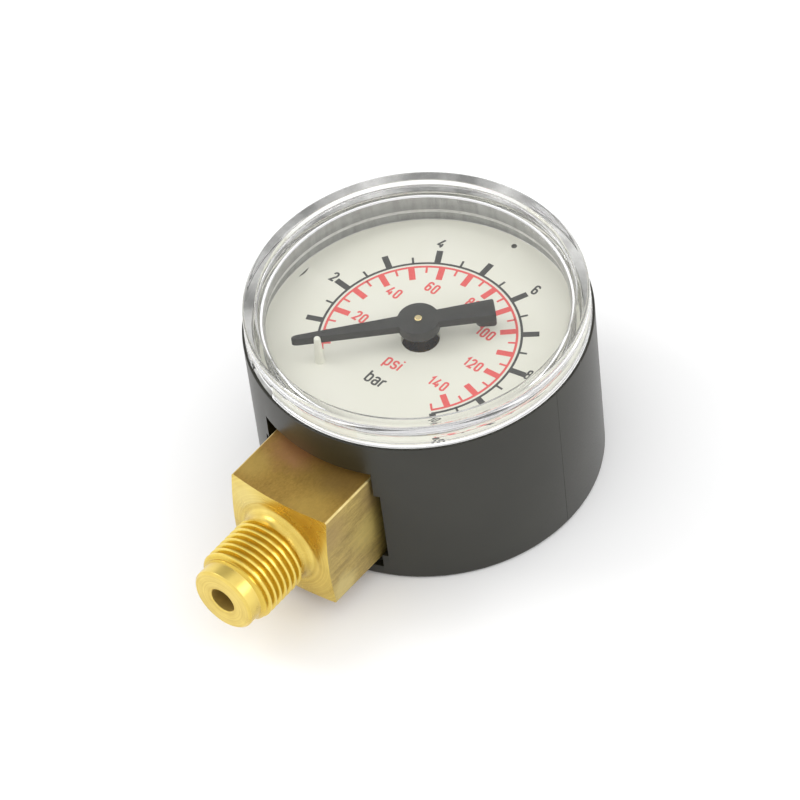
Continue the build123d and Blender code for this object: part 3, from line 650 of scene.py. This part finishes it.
def make_screw_pads():
    """Raised rings on the case's floor that the socket stands on."""
    hole_r, foot, top = CASE_SCREW_R + FIT_GAP, CASE_FLOOR - 0.1, SOCKET_LOW_Z - FIT_GAP
    ring = rounded(((hole_r, foot, 0), (SCREW_PAD_R, foot, 0), (SCREW_PAD_R, top, 0.15), (hole_r, top, 0.1)))
    bm = bmesh.new()
    for side in (-1, 1):
        lathe(bm, lambda angle: ring, even(64), centre=(side * CASE_SCREW_X, CASE_SCREW_Y, 0))
    return new_object("screw_pads", bm)


# ---------------------------------------------------------------- window
def make_window():
    def at(angle):
        notch = NOTCH_ANGLES[0] < angle < NOTCH_ANGLES[1]
        flange_r = NOTCH_INNER_R if notch else WINDOW_FLANGE_R
        flange_z = NOTCH_TOP_Z if notch else WINDOW_FLANGE_TOP_Z
        corners = (
            (0, LENS_TOP_Z, 0),
            (LENS_EDGE_R - 0.6, LENS_TOP_Z, 0),
            (LENS_EDGE_R, LENS_TOP_Z, 0.3),
            (WINDOW_LAND_R, WINDOW_TOP_Z, 0.1),
            (WINDOW_R, WINDOW_TOP_Z, WINDOW_SHOULDER),
            (WINDOW_R, flange_z, 0.03),
            (flange_r, flange_z, 0.05),
            (flange_r, CASE_RIM_Z + 0.01, 0.05),
            (SKIRT_OUTER_R, CASE_RIM_Z + 0.01, 0.05),
            (SKIRT_OUTER_R, DIAL_TOP_Z + FIT_GAP, 0.04),
            (LIP_INNER_R, DIAL_TOP_Z + FIT_GAP, 0.04),
            (LIP_INNER_R, DIAL_TOP_Z + MATT_FOOT, 0),
            (LIP_INNER_R, SKIRT_END_Z, 0.08),
            (SKIRT_INNER_R, SKIRT_END_Z, 0.05),
            (SKIRT_INNER_R, SKIRT_END_Z + MATT_BAND, 0),
            (SKIRT_INNER_R, LENS_UNDER_Z, UNDER_FILLET),
            (SKIRT_INNER_R - UNDER_FILLET - 0.3, LENS_UNDER_Z, 0),
            (0, LENS_UNDER_Z, 0),
        )
        return rounded(corners, 6)

    extra = []
    for angle in NOTCH_ANGLES:
        extra += [angle - 0.05, angle + 0.05]
    bm = bmesh.new()
    lathe(bm, at, wall_angles(360, extra))
    return new_object("window_moulding", bm, 28)


# ---------------------------------------------------------------- dial
def make_dial():
    corners = (
        (DIAL_HOLE_R, DIAL_LEDGE_Z, 0),
        (DIAL_R, DIAL_LEDGE_Z, 0),
        (DIAL_R, DIAL_TOP_Z, 0.1),
        (DIAL_HOLE_R, DIAL_TOP_Z, 0.06),
    )
    profile = rounded(corners)
    bm = bmesh.new()
    lathe(bm, lambda angle: profile, even(240))
    dial = new_object("dial_plate", bm)
    tool = bmesh.new()
    floor_z, above = DIAL_TOP_Z - DIMPLE_DEPTH, 30
    dimple = rounded(((0, floor_z, 0), (DIMPLE_R, floor_z, 0.1), (DIMPLE_R, above, 0), (0, above, 0)))
    lathe(tool, lambda angle: dimple, even(32), centre=(*polar(DIMPLE_RADIUS, 90 + PRINT_TWIST), 0))
    cut(dial, new_object("dimple", tool))
    tool = bmesh.new()
    slit = [polar(SLIT_RADIUS, SLIT_START + k) for k in range(SLIT_SPAN + 1)]
    for k in range(1, SLIT_SPAN):
        inner_r = SLIT_RADIUS - SLIT_WIDTH * math.sin(math.pi * k / SLIT_SPAN)
        slit.append(polar(inner_r, SLIT_START + SLIT_SPAN - k))
    prism(tool, slit, ((0, 17), (0, 20)))  # right through the dial
    cut(dial, new_object("slit", tool))
    return dial


def make_stop_pin():
    radius, angle, base_r, top_r, top_z = STOP_PIN
    sunk_z, collar = DIAL_TOP_Z - 0.3, 0.05
    corners = (
        (0, sunk_z, 0),
        (base_r + collar, sunk_z, 0),
        (base_r + collar, DIAL_TOP_Z + collar, 0.05),
        (base_r, DIAL_TOP_Z + collar, 0),
        (top_r, top_z, 0.3),
        (0, top_z, 0),
    )
    profile = rounded(corners, 8)
    bm = bmesh.new()
    lathe(bm, lambda a: profile, even(48), centre=(*polar(radius, angle), 0))
    return new_object("stop_pin", bm, 50)


def ribbon(bm, points, width, closed=False):
    """Printed stroke: a thin raised strip along a line on the dial, at a height of its own."""
    top = PRINT_Z + PRINT_STEP * (len(bm.verts) // 8 % PRINT_LEVELS)
    line = [Vector(p) for p in points]
    line = [p for i, p in enumerate(line) if i == 0 or (p - line[i - 1]).length > 1e-4]
    if closed and (line[0] - line[-1]).length < 1e-4:
        line.pop()
    count = len(line)
    rails = []
    for i, here in enumerate(line):
        enter = (here - line[i - 1]).normalized() if i or closed else Vector((0, 0))
        leave = (line[(i + 1) % count] - here).normalized() if i < count - 1 or closed else Vector((0, 0))
        along = (enter + leave).normalized()
        side = Vector((-along.y, along.x))
        edge = leave if leave.length else enter
        reach = width / 2 / max(0.5, side.dot(Vector((-edge.y, edge.x))))
        left, right = here + side * reach, here - side * reach
        section = ((left, PRINT_LOW_Z), (left, top), (right, top), (right, PRINT_LOW_Z))
        rails.append([bm.verts.new((*p, z)) for p, z in section])
    for i in range(count if closed else count - 1):
        here, there = rails[i], rails[(i + 1) % count]
        for k in range(4):
            n = (k + 1) % 4
            bm.faces.new((here[k], there[k], there[n], here[n]))
    if not closed:
        bm.faces.new(rails[0])
        bm.faces.new(rails[-1])


def on_dial(radius, angle):
    return Vector(polar(radius, angle)) + Vector(PRINT_CENTRE)


def arc(bm, radius, start, end):
    """Printed ring segment between two angles."""
    angles = [start + (end - start) * k / ARC_STEPS for k in range(ARC_STEPS + 1)]
    ribbon(bm, [on_dial(radius, angle) for angle in angles], ARC_WIDTH)


def tick(bm, angle, inner_r, outer_r, width):
    ribbon(bm, (on_dial(inner_r, angle), on_dial(outer_r, angle)), width)


def lettering(bm, text, place, height):
    """Upright narrow characters, centred on a place measured from the print's centre."""
    centre = Vector(PRINT_CENTRE) + Vector(place)
    size = height - STROKE
    widths = [CHARACTERS[c][0] * size + STROKE for c in text]
    pen = -(sum(widths) + LETTER_GAP * (len(text) - 1)) / 2 + STROKE / 2
    lean = Matrix.Rotation(math.radians(PRINT_TWIST), 2)
    for character, width in zip(text, widths):
        for closed, strokes in zip((True, False), CHARACTERS[character][1:]):
            for corners in strokes:
                path = [Vector((pen + x * size, (y - 0.5) * size)) for x, y in rounded(corners, 6)]
                ribbon(bm, [centre + lean @ p for p in path], STROKE, closed)
        pen += width + LETTER_GAP


def bar_angle(bar):
    return SCALE_ZERO - SCALE_SWEEP * bar / BAR_FULL


def make_bar_print():
    """The scale starts past the stop pin, which stands for zero."""
    bm = bmesh.new()
    arc(bm, BAR_ARC_R, bar_angle(BAR_FULL) - ARC_OVERRUN, BAR_ARC_START)
    for half in range(1, 2 * BAR_FULL + 1):
        bold = half % 2 == 0
        outer_r = BAR_BOLD_R if bold else BAR_THIN_R
        tick(bm, bar_angle(half / 2), BAR_ARC_R, outer_r, BOLD_TICK if bold else FINE_TICK)
    for figure, place in BAR_FIGURES.items():
        lettering(bm, figure, place, FIGURE_HEIGHT)
    lettering(bm, "bar", BAR_NAME, LETTER_HEIGHT)
    return new_object("dial_print_dark", bm)


def make_psi_print():
    bm = bmesh.new()
    arc(bm, PSI_ARC_R, bar_angle(PSI_LAST / PSI_PER_BAR) - ARC_OVERRUN, PSI_ARC_START)
    for psi in range(5, PSI_LAST + 1, 5):
        bold = psi % 10 == 0
        inner_r = PSI_BOLD_R if bold else PSI_THIN_R
        tick(bm, bar_angle(psi / PSI_PER_BAR), inner_r, PSI_ARC_R, BOLD_TICK if bold else FINE_TICK)
    for figure, place in PSI_FIGURES.items():
        lettering(bm, figure, place, FIGURE_HEIGHT)
    lettering(bm, "psi", PSI_NAME, LETTER_HEIGHT)
    return new_object("dial_print_red", bm)


# ---------------------------------------------------------------- pointer
def pointer_outline():
    """Outline in the dial's plane with the tip along +X, counted from the tip round the hub and the tail."""
    outline = []
    tip = POINTER_TIP_HALF
    nose = POINTER_LENGTH - 2 * tip
    for k in range(9):
        a = math.pi * (k / 8 - 0.5)
        outline.append((nose + 2 * tip * math.cos(a), tip * math.sin(a)))

    def half_at(x):
        return POINTER_ROOT_HALF + (tip - POINTER_ROOT_HALF) * x / nose

    front = math.degrees(math.asin(half_at(POINTER_HUB_R) / POINTER_HUB_R))
    rear = 180 - math.degrees(math.asin(POINTER_ROOT_HALF / POINTER_HUB_R))
    hub = [polar(POINTER_HUB_R, front + (rear - front) * k / 24) for k in range(25)]
    tail = rounded(
        (
            (-POINTER_HUB_R, POINTER_ROOT_HALF, 0),
            (-TAIL_LENGTH, TAIL_END_HALF, TAIL_CORNER_R),
            (-TAIL_LENGTH, -TAIL_END_HALF, TAIL_CORNER_R),
            (-POINTER_HUB_R, -POINTER_ROOT_HALF, 0),
        )
    )[1:-1]
    outline += hub + [tuple(p) for p in tail]
    outline += [(x, -y) for x, y in reversed(hub)]
    return outline


def make_pointer():
    top = POINTER_TOP_Z
    low = top - POINTER_THICKNESS
    bm = bmesh.new()
    edge = ((0.05, low), (0, low + 0.05), (0, top - 0.12), (0.03, top - 0.04), (0.1, top))
    hole_r, under, inside = SPINDLE_R + FIT_GAP, top - POINTER_HUB_HEIGHT, top - 0.3
    prism(bm, pointer_outline(), edge, (hole_r, 32))
    outer = ((POINTER_HUB_R, under, 0.06), (POINTER_HUB_R, inside, 0))
    hub = rounded(((hole_r, under, 0), *outer, (hole_r, inside, 0)))
    lathe(bm, lambda angle: hub, even(96))
    weight_start = -TAIL_LENGTH + WEIGHT_LENGTH
    weight = rounded(
        (
            (-TAIL_LENGTH, -TAIL_END_HALF, 0.4),
            (weight_start, -POINTER_ROOT_HALF, 0.7),
            (weight_start, POINTER_ROOT_HALF, 0.7),
            (-TAIL_LENGTH, TAIL_END_HALF, 0.4),
        ),
        8,
    )
    foot = low - WEIGHT_EXTRA
    prism(bm, weight, ((0.22, foot), (0.07, foot + 0.07), (0, foot + 0.22), (0, inside)))
    turn = Matrix.Rotation(math.radians(POINTER_ANGLE), 3, "Z")
    bmesh.ops.rotate(bm, verts=bm.verts, cent=(0, 0, 0), matrix=turn)
    return new_object("pointer_arm", bm)


# ---------------------------------------------------------------- brass socket
def make_socket_block():
    """Square bar, its front turned to a shallow cone, its long edges slightly broken."""
    half, low, high = SOCKET_HALF, SOCKET_LOW_Z, SOCKET_LOW_Z + 2 * SOCKET_HALF
    bm = bmesh.new()
    square = ((-half, low), (half, low), (half, high), (-half, high))
    outline = rounded([(*corner, SOCKET_EDGE_R) for corner in square])
    rows = []
    for y in (SOCKET_BACK_Y, SOCKET_FACE_Y - 0.5):
        rows.append([bm.verts.new((p[0], y, p[1])) for p in outline])
    for i in range(len(outline)):
        j = (i + 1) % len(outline)
        bm.faces.new((rows[0][i], rows[0][j], rows[1][j], rows[1][i]))
    bm.faces.new(rows[0])
    bm.faces.new(rows[1])
    block = new_object("socket_square", bm)
    slope = (SOCKET_FACE_Y - SOCKET_CORNER_Y) / (half * math.sqrt(2) - SOCKET_FACE_R)
    far_r = 14.0
    far_y = SOCKET_FACE_Y - slope * (far_r - SOCKET_FACE_R)
    tool = bmesh.new()
    outside = (
        (0, SOCKET_FACE_Y),
        (SOCKET_FACE_R, SOCKET_FACE_Y),
        (far_r, far_y),
        (far_r, SOCKET_FACE_Y - 3),
        (0, SOCKET_FACE_Y - 3),
    )
    lathe(tool, lambda angle: outside, even(256), "Y", (0, 0, STEM_Z))
    cut(block, new_object("facing_cut", tool))
    tool = bmesh.new()
    bore_r, outside_y = RELIEF_R - 0.3, -60
    bore = ((0, outside_y), (bore_r, outside_y), (bore_r, PORT_END_Y), (0, PORT_END_Y))
    lathe(tool, lambda angle: bore, even(96), "Y", (0, 0, STEM_Z))
    cut(block, new_object("stem_hole", tool))
    return block


def thread_radius(phase):
    """Radius of the thread's round-cornered profile at a phase from 0 to 1 of one pitch."""
    from_crest = abs((phase % 1) - 0.5) * THREAD_PITCH
    flat = 0.08
    flank = THREAD_PITCH / 2 - 2 * flat
    share = min(1, max(0, (from_crest - flat) / flank))
    smooth = share - 0.08 * math.sin(2 * math.pi * share)
    return THREAD_MAJOR_R + (THREAD_MINOR_R - THREAD_MAJOR_R) * smooth


def make_socket_stem():
    bm = bmesh.new()
    foot_r = RELIEF_R + FILLET_R
    fillet = [(foot_r + 0.15, SOCKET_FACE_Y + 0.3), (foot_r + 0.15, SOCKET_FACE_Y - 0.02)]
    for k in range(15):
        a = math.radians(90 * k / 14)
        fillet.append((foot_r - FILLET_R * math.sin(a), SOCKET_FACE_Y - FILLET_R * (1 - math.cos(a))))
    core_r = THREAD_MINOR_R - 0.4
    shoulder_y = THREAD_END_Y - (THREAD_MINOR_R + 0.1 - NOSE_R)
    front = rounded(
        (
            (RELIEF_R, THREAD_START_Y + 0.4, 0),
            (RELIEF_R, THREAD_START_Y - 0.05, 0),
            (core_r, THREAD_START_Y - 0.4, 0),
            (core_r, shoulder_y + 0.3, 0),
            (NOSE_R - 0.01, shoulder_y, 0),
            (NOSE_R, shoulder_y - 0.3, 0),
            (NOSE_R, NOSE_END_Y + NOSE_CHAMFER, 0.1),
            (NOSE_R - NOSE_CHAMFER, NOSE_END_Y, 0.05),
            (PORT_R + 0.14, NOSE_END_Y, 0.03),
            (PORT_R, NOSE_END_Y + 0.14, 0.03),
            (PORT_R, PORT_END_Y, 0),
            (FEED_R, PORT_END_Y + 0.7, 0),
            (FEED_R, PORT_END_Y + 3, 0),
            (0.6, PORT_END_Y + 3, 0),
            (foot_r - 1.5, PORT_END_Y, 0),
        )
    )
    profile = fillet + [tuple(p) for p in front]
    lathe(bm, lambda angle: profile, even(160), "Y", (0, 0, STEM_Z))
    return new_object("socket_stem", bm, 40)


def make_thread():
    """True helix of the pipe thread, running out at both ends."""
    bm = bmesh.new()
    columns, rows = 128, 24
    first_y = THREAD_START_Y + 0.5
    turns = (first_y - THREAD_END_Y + 1.2) / THREAD_PITCH
    grid = []
    for i in range(int(turns * columns) + 1):
        angle = 2 * math.pi * i / columns
        line = []
        for k in range(rows + 1):
            y = first_y - THREAD_PITCH * (i / columns + k / rows)
            run_out = RELIEF_R + (THREAD_START_Y - y) * 1.2
            chamfer = THREAD_MAJOR_R - max(0.0, THREAD_END_Y + 0.15 - y)
            r = min(thread_radius(k / rows), run_out, chamfer)
            line.append(bm.verts.new((r * math.cos(angle), y, STEM_Z + r * math.sin(angle))))
        grid.append(line)
    for i in range(len(grid) - 1):
        for k in range(rows):
            bm.faces.new((grid[i][k], grid[i + 1][k], grid[i + 1][k + 1], grid[i][k + 1]))
    bmesh.ops.remove_doubles(bm, verts=bm.verts, dist=1e-4)
    return new_object("socket_thread", bm, 40)


def make_socket_post():
    """Inner end of the socket that carries the tube and the movement."""
    bm = bmesh.new()
    broken, corner_r = 0.1, 0.15
    steps = ((POST_HALF, POST_END_Y, *POST_Z), (FOOT_HALF, FOOT_END_Y, SOCKET_LOW_Z, FOOT_TOP_Z))
    for half, end_y, low, high in steps:
        back = ((-half, SOCKET_BACK_Y, 0), (half, SOCKET_BACK_Y, 0))
        outline = rounded((*back, (half, end_y, corner_r), (-half, end_y, corner_r)), 3)
        prism(bm, outline, ((broken, low), (0, low + broken), (0, high - broken), (broken, high)))
    return new_object("socket_post", bm)


# ---------------------------------------------------------------- bourdon tube
def make_tube():
    """Flattened hollow tube swept round the case, from its fixed root to its tip."""
    bm = bmesh.new()
    section = []
    for k in range(TUBE_SIDES):
        a = 2 * math.pi * k / TUBE_SIDES
        flat = TUBE_WIDTH / 2 - TUBE_THICKNESS / 2
        side = 1 if math.sin(a) >= 0 else -1
        section.append((math.cos(a) * TUBE_THICKNESS / 2, side * flat + math.sin(a) * TUBE_THICKNESS / 2))
    shells = []
    for inset in (0, TUBE_WALL):
        shell = []
        for i in range(TUBE_STEPS + 1):
            angle = TUBE_TIP + (TUBE_ROOT - TUBE_TIP) * i / TUBE_STEPS
            ring = []
            for across, up in section:
                shrink = 1 - 2 * inset / TUBE_THICKNESS
                r = TUBE_MEAN_R + across * shrink
                z = STEM_Z + up * (1 - 2 * inset / TUBE_WIDTH)
                ring.append(bm.verts.new((*polar(r, angle), z)))
            shell.append(ring)
        shells.append(shell)
        for low, high in zip(shell, shell[1:]):
            for k in range(TUBE_SIDES):
                n = (k + 1) % TUBE_SIDES
                bm.faces.new((low[k], low[n], high[n], high[k]))
    for end in (0, -1):
        for k in range(TUBE_SIDES):
            n = (k + 1) % TUBE_SIDES
            bm.faces.new((shells[0][end][k], shells[0][end][n], shells[1][end][n], shells[1][end][k]))
    return new_object("bourdon_tube_wall", bm)


# ---------------------------------------------------------------- assembly
black = black_plastic()
clear = clear_plastic()
cream = dial_plastic()
ink_dark = print_ink("ink_dark", (0.046, 0.046, 0.041), (0.06, 0.06, 0.053))
ink_red = print_ink("ink_red", (0.72, 0.095, 0.088), (0.78, 0.12, 0.108))
pointer_black = pointer_plastic()
stem_brass = turned_brass("turned_brass")
face_brass = turned_brass(
    "turned_face",
    patches=(
        ((6.0, -27.3, 14.5), 4.0, (0.72, 0.50, 0.10), 0.4),
        ((-4.6, -27.6, 14.2), 3.2, (0.84, 0.72, 0.30), 0.4),
        ((-5.5, -27.4, 4.5), 2.6, (0.80, 0.68, 0.27), 0.4),
    ),
)
# Darker, duller brass inside the bore: painted shade in the hole
bore_brass_painted_shade = plain_brass("bore_brass_painted_shade", (0.40, 0.28, 0.07), (0.54, 0.38, 0.10), (0.35, 0.5), 0.6)
top_brass = drawn_brass(
    "drawn_brass_top",
    (0.34, 0.205, 0.042),
    (0.46, 0.285, 0.06),
    (
        ((-3.0, -19.4, 16.7), 4.2, (0.46, 0.22, 0.10), 0.75),
        ((3.5, -19.5, 16.7), 4.6, (0.33, 0.20, 0.06), 0.6),
        ((-6.0, -24.5, 16.7), 2.6, (0.52, 0.36, 0.09), 0.6),
        ((4.0, -26.0, 16.7), 3.4, (0.52, 0.35, 0.08), 0.5),
    ),
    (3.5, 0.9, 3.5),
)
side_brass = drawn_brass(
    "drawn_brass_side",
    (0.32, 0.225, 0.065),
    (0.62, 0.46, 0.14),
    (
        ((7.0, -20.5, 9.0), 3.0, (0.70, 0.55, 0.17), 0.6),
        ((7.0, -26.3, 14.0), 3.0, (0.38, 0.26, 0.10), 0.6),
        ((7.0, -18.5, 14.5), 3.0, (0.30, 0.20, 0.08), 0.6),
        ((7.0, -25.5, 4.0), 2.6, (0.74, 0.62, 0.26), 0.6),
    ),
    (2.0, 0.22, 1.6),
)
# Pale brass for the socket's broken long edges: a painted highlight along them
edge_highlight_brass = plain_brass("edge_highlight_brass", (0.60, 0.47, 0.18), (0.74, 0.60, 0.27), (0.35, 0.5), 0.8)
thread_look = thread_tarnish_and_shade_brass()
movement_brass = plain_brass("movement_brass", (0.62, 0.44, 0.14), (0.76, 0.56, 0.2))
spindle_brass = plain_brass("spindle_brass", (0.80, 0.64, 0.30), (0.92, 0.78, 0.44), (0.14, 0.24))
tube_bronze = plain_brass("tube_bronze", (0.56, 0.3, 0.14), (0.68, 0.4, 0.2))
steel = plain_brass("bright_steel", (0.45, 0.45, 0.46), (0.6, 0.6, 0.61), (0.25, 0.4))

case = make_case()
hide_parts("case")
finish_with(case, black, "gauge_body")
# Mouth and seat of the black case get grey base colours: a painted reflection of the pale dial and the studio
mouth = painted_reflection_plastic("case_mouth_painted_reflection", (0.24, 0.242, 0.226), (0.37, 0.374, 0.355), (1.2, 1.2, 0.2))
seat = painted_reflection_plastic("case_seat_painted_reflection", (0.14, 0.14, 0.133), (0.60, 0.60, 0.58), (0.14, 0.14, 0.14))
for material in (mouth, seat):
    case.data.materials.append(material)
for face in case.data.polygons:
    away = math.hypot(face.center.x, face.center.y)
    if face.center.z > DIAL_LEDGE_Z * MM and away < RIM_SEAT_R * MM:
        face.material_index = 2 if face.center.z > (CASE_RIM_Z - 0.1) * MM else 1

finish_with(make_screw_pads(), black, "gauge_body")

window = make_window()
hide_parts("window")
finish_with(window, clear, "gauge_body")
window.data.materials.append(frosted_highlight_plastic())
# faces of the matt bands, which carry the painted highlight
for face in window.data.polygons:
    away = math.hypot(face.center.x, face.center.y)
    height = face.center.z / MM
    band = away < (SKIRT_INNER_R + 0.04) * MM and SKIRT_END_Z < height < SKIRT_END_Z + MATT_BAND
    foot = away < (LIP_INNER_R + 0.04) * MM and height < DIAL_TOP_Z + MATT_FOOT
    if band or foot:
        face.material_index = 1

dial = make_dial()
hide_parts("dial")
finish_with(dial, cream, "gauge_body")
# Walls and floor of the dimple and the slit get a dark colour: painted shade in these recesses
dial.data.materials.append(print_ink("painted_shade_in_dial_recesses", (0.10, 0.10, 0.085), (0.22, 0.22, 0.19)))
for face in dial.data.polygons:
    away = math.hypot(face.center.x, face.center.y)
    inner = DIAL_HOLE_R + 1 < away / MM < DIAL_R - 0.3
    if inner and (DIAL_LEDGE_Z + 0.02) * MM < face.center.z < (DIAL_TOP_Z - 0.02) * MM:
        face.material_index = 1
finish_with(make_stop_pin(), cream, "gauge_body")
finish_with(make_bar_print(), ink_dark, "gauge_body")
finish_with(make_psi_print(), ink_red, "gauge_body")

pointer = make_pointer()
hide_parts("pointer")
finish_with(pointer, pointer_black, "pointer_shaft")

block = make_socket_block()
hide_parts("socket")
finish_with(block, top_brass, "gauge_body")
for material in (face_brass, side_brass, edge_highlight_brass):
    block.data.materials.append(material)
for face in block.data.polygons:
    if face.normal.y < -0.7:
        face.material_index = 1
    elif abs(face.normal.x) > 0.98:
        face.material_index = 2
    # the rounded long edges take the pale brass of the painted edge highlight
    elif abs(face.normal.z) < 0.98 and abs(face.normal.y) < 0.5:
        face.material_index = 3
stem = make_socket_stem()
finish_with(stem, stem_brass, "gauge_body")
stem.data.materials.append(bore_brass_painted_shade)
for face in stem.data.polygons:
    if math.hypot(face.center.x, face.center.z - STEM_Z * MM) < (PORT_R + 0.01) * MM:
        face.material_index = 1
finish_with(make_thread(), thread_look, "gauge_body")
finish_with(make_socket_post(), top_brass, "gauge_body")

tube = make_tube()
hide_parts("bourdon_tube")
tube.data.materials.append(tube_bronze)
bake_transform(tube)

replaced = {"case", "window", "dial", "pointer", "socket", "bourdon_tube"}
steel_nodes = {"case_screws", "sector_arbor", "pillar_screws", "post_screws"}
for name, node in nodes.items():
    if name in replaced:
        continue
    material = steel if name in steel_nodes else movement_brass
    if name == "hairspring":
        material = tube_bronze
    if name == "pinion_spindle":
        material = spindle_brass
    node.data.materials.clear()
    node.data.materials.append(material)

# ---------------------------------------------------------------- floor, light, camera
bm = bmesh.new()
signs = ((-1, -1), (1, -1), (1, 1), (-1, 1))
floor_corners = [(x * FLOOR_HALF, y * FLOOR_HALF, FLOOR_CORNER_R) for x, y in signs]
prism(bm, rounded(floor_corners, 12), ((0, -FLOOR_DEPTH), (0, 0)))
floor = new_object("floor", bm)
floor_look = Nodes("floor_white")
floor_grain = floor_look.noise((0.02, 0.02, 0.02), 2)
floor_look.colour(floor_look.ramp(floor_grain, "Fac", ((0.3, (0.93, 0.93, 0.93)), (0.7, (0.95, 0.95, 0.95)))))
floor_look.set(Roughness=0.7)
floor.data.materials.append(floor_look.material)


def make_world():
    """Even white studio, darker over a soft round patch of the sky that the window would mirror."""
    world = bpy.data.worlds.new("studio")
    world.use_nodes = True
    tree = world.node_tree
    background = tree.nodes["Background"]
    place = tree.nodes.new("ShaderNodeTexCoord")
    toward = tree.nodes.new("ShaderNodeVectorMath")
    toward.operation = "DOT_PRODUCT"
    toward.inputs[1].default_value = DARK_SKY_DIRECTION
    tree.links.new(place.outputs["Generated"], toward.inputs[0])
    ramp = tree.nodes.new("ShaderNodeValToRGB")
    ramp.color_ramp.interpolation = "EASE"
    for element, (position, grey) in zip(ramp.color_ramp.elements, DARK_SKY_RAMP):
        element.position = position
        element.color = (grey, grey, grey, 1)
    tree.links.new(toward.outputs["Value"], ramp.inputs["Fac"])
    tree.links.new(ramp.outputs["Color"], background.inputs["Color"])
    background.inputs["Strength"].default_value = SKY_STRENGTH
    bpy.context.scene.world = world


def softbox(name, place, size, power):
    data = bpy.data.lights.new(name, "AREA")
    data.shape = "RECTANGLE"
    data.size, data.size_y = size
    data.energy = power
    lamp = bpy.data.objects.new(name, data)
    bpy.context.scene.collection.objects.link(lamp)
    lamp.location = place
    lamp.rotation_euler = (Vector(LAMP_AIM) - Vector(place)).to_track_quat("-Z", "Y").to_euler()


make_world()
for lamp_settings in SOFTBOXES:
    softbox(*lamp_settings)

camera_data = bpy.data.cameras.new("photo_view")
camera_data.lens = CAMERA_LENS
camera_data.sensor_width = SENSOR_WIDTH
camera = bpy.data.objects.new("photo_view", camera_data)
bpy.context.scene.collection.objects.link(camera)
azimuth, elevation = math.radians(CAMERA_AZIMUTH), math.radians(CAMERA_ELEVATION)
level = math.cos(elevation)
back = Vector((math.sin(azimuth) * level, -math.cos(azimuth) * level, math.sin(elevation)))
right = Vector((0, 0, 1)).cross(back).normalized()
up = back.cross(right)
roll = Matrix.Rotation(math.radians(CAMERA_ROLL), 4, "Z")
basis = Matrix((right, up, back)).transposed().to_4x4()
spot = (Vector(CAMERA_AIM) + back * CAMERA_DISTANCE) * MM
camera.matrix_world = Matrix.Translation(spot) @ basis @ roll
bpy.context.scene.camera = camera
bpy.context.scene.view_settings.view_transform = "Standard"
for limit in ("max_bounces", "transmission_bounces", "glossy_bounces"):
    setattr(bpy.context.scene.cycles, limit, LIGHT_PATHS)
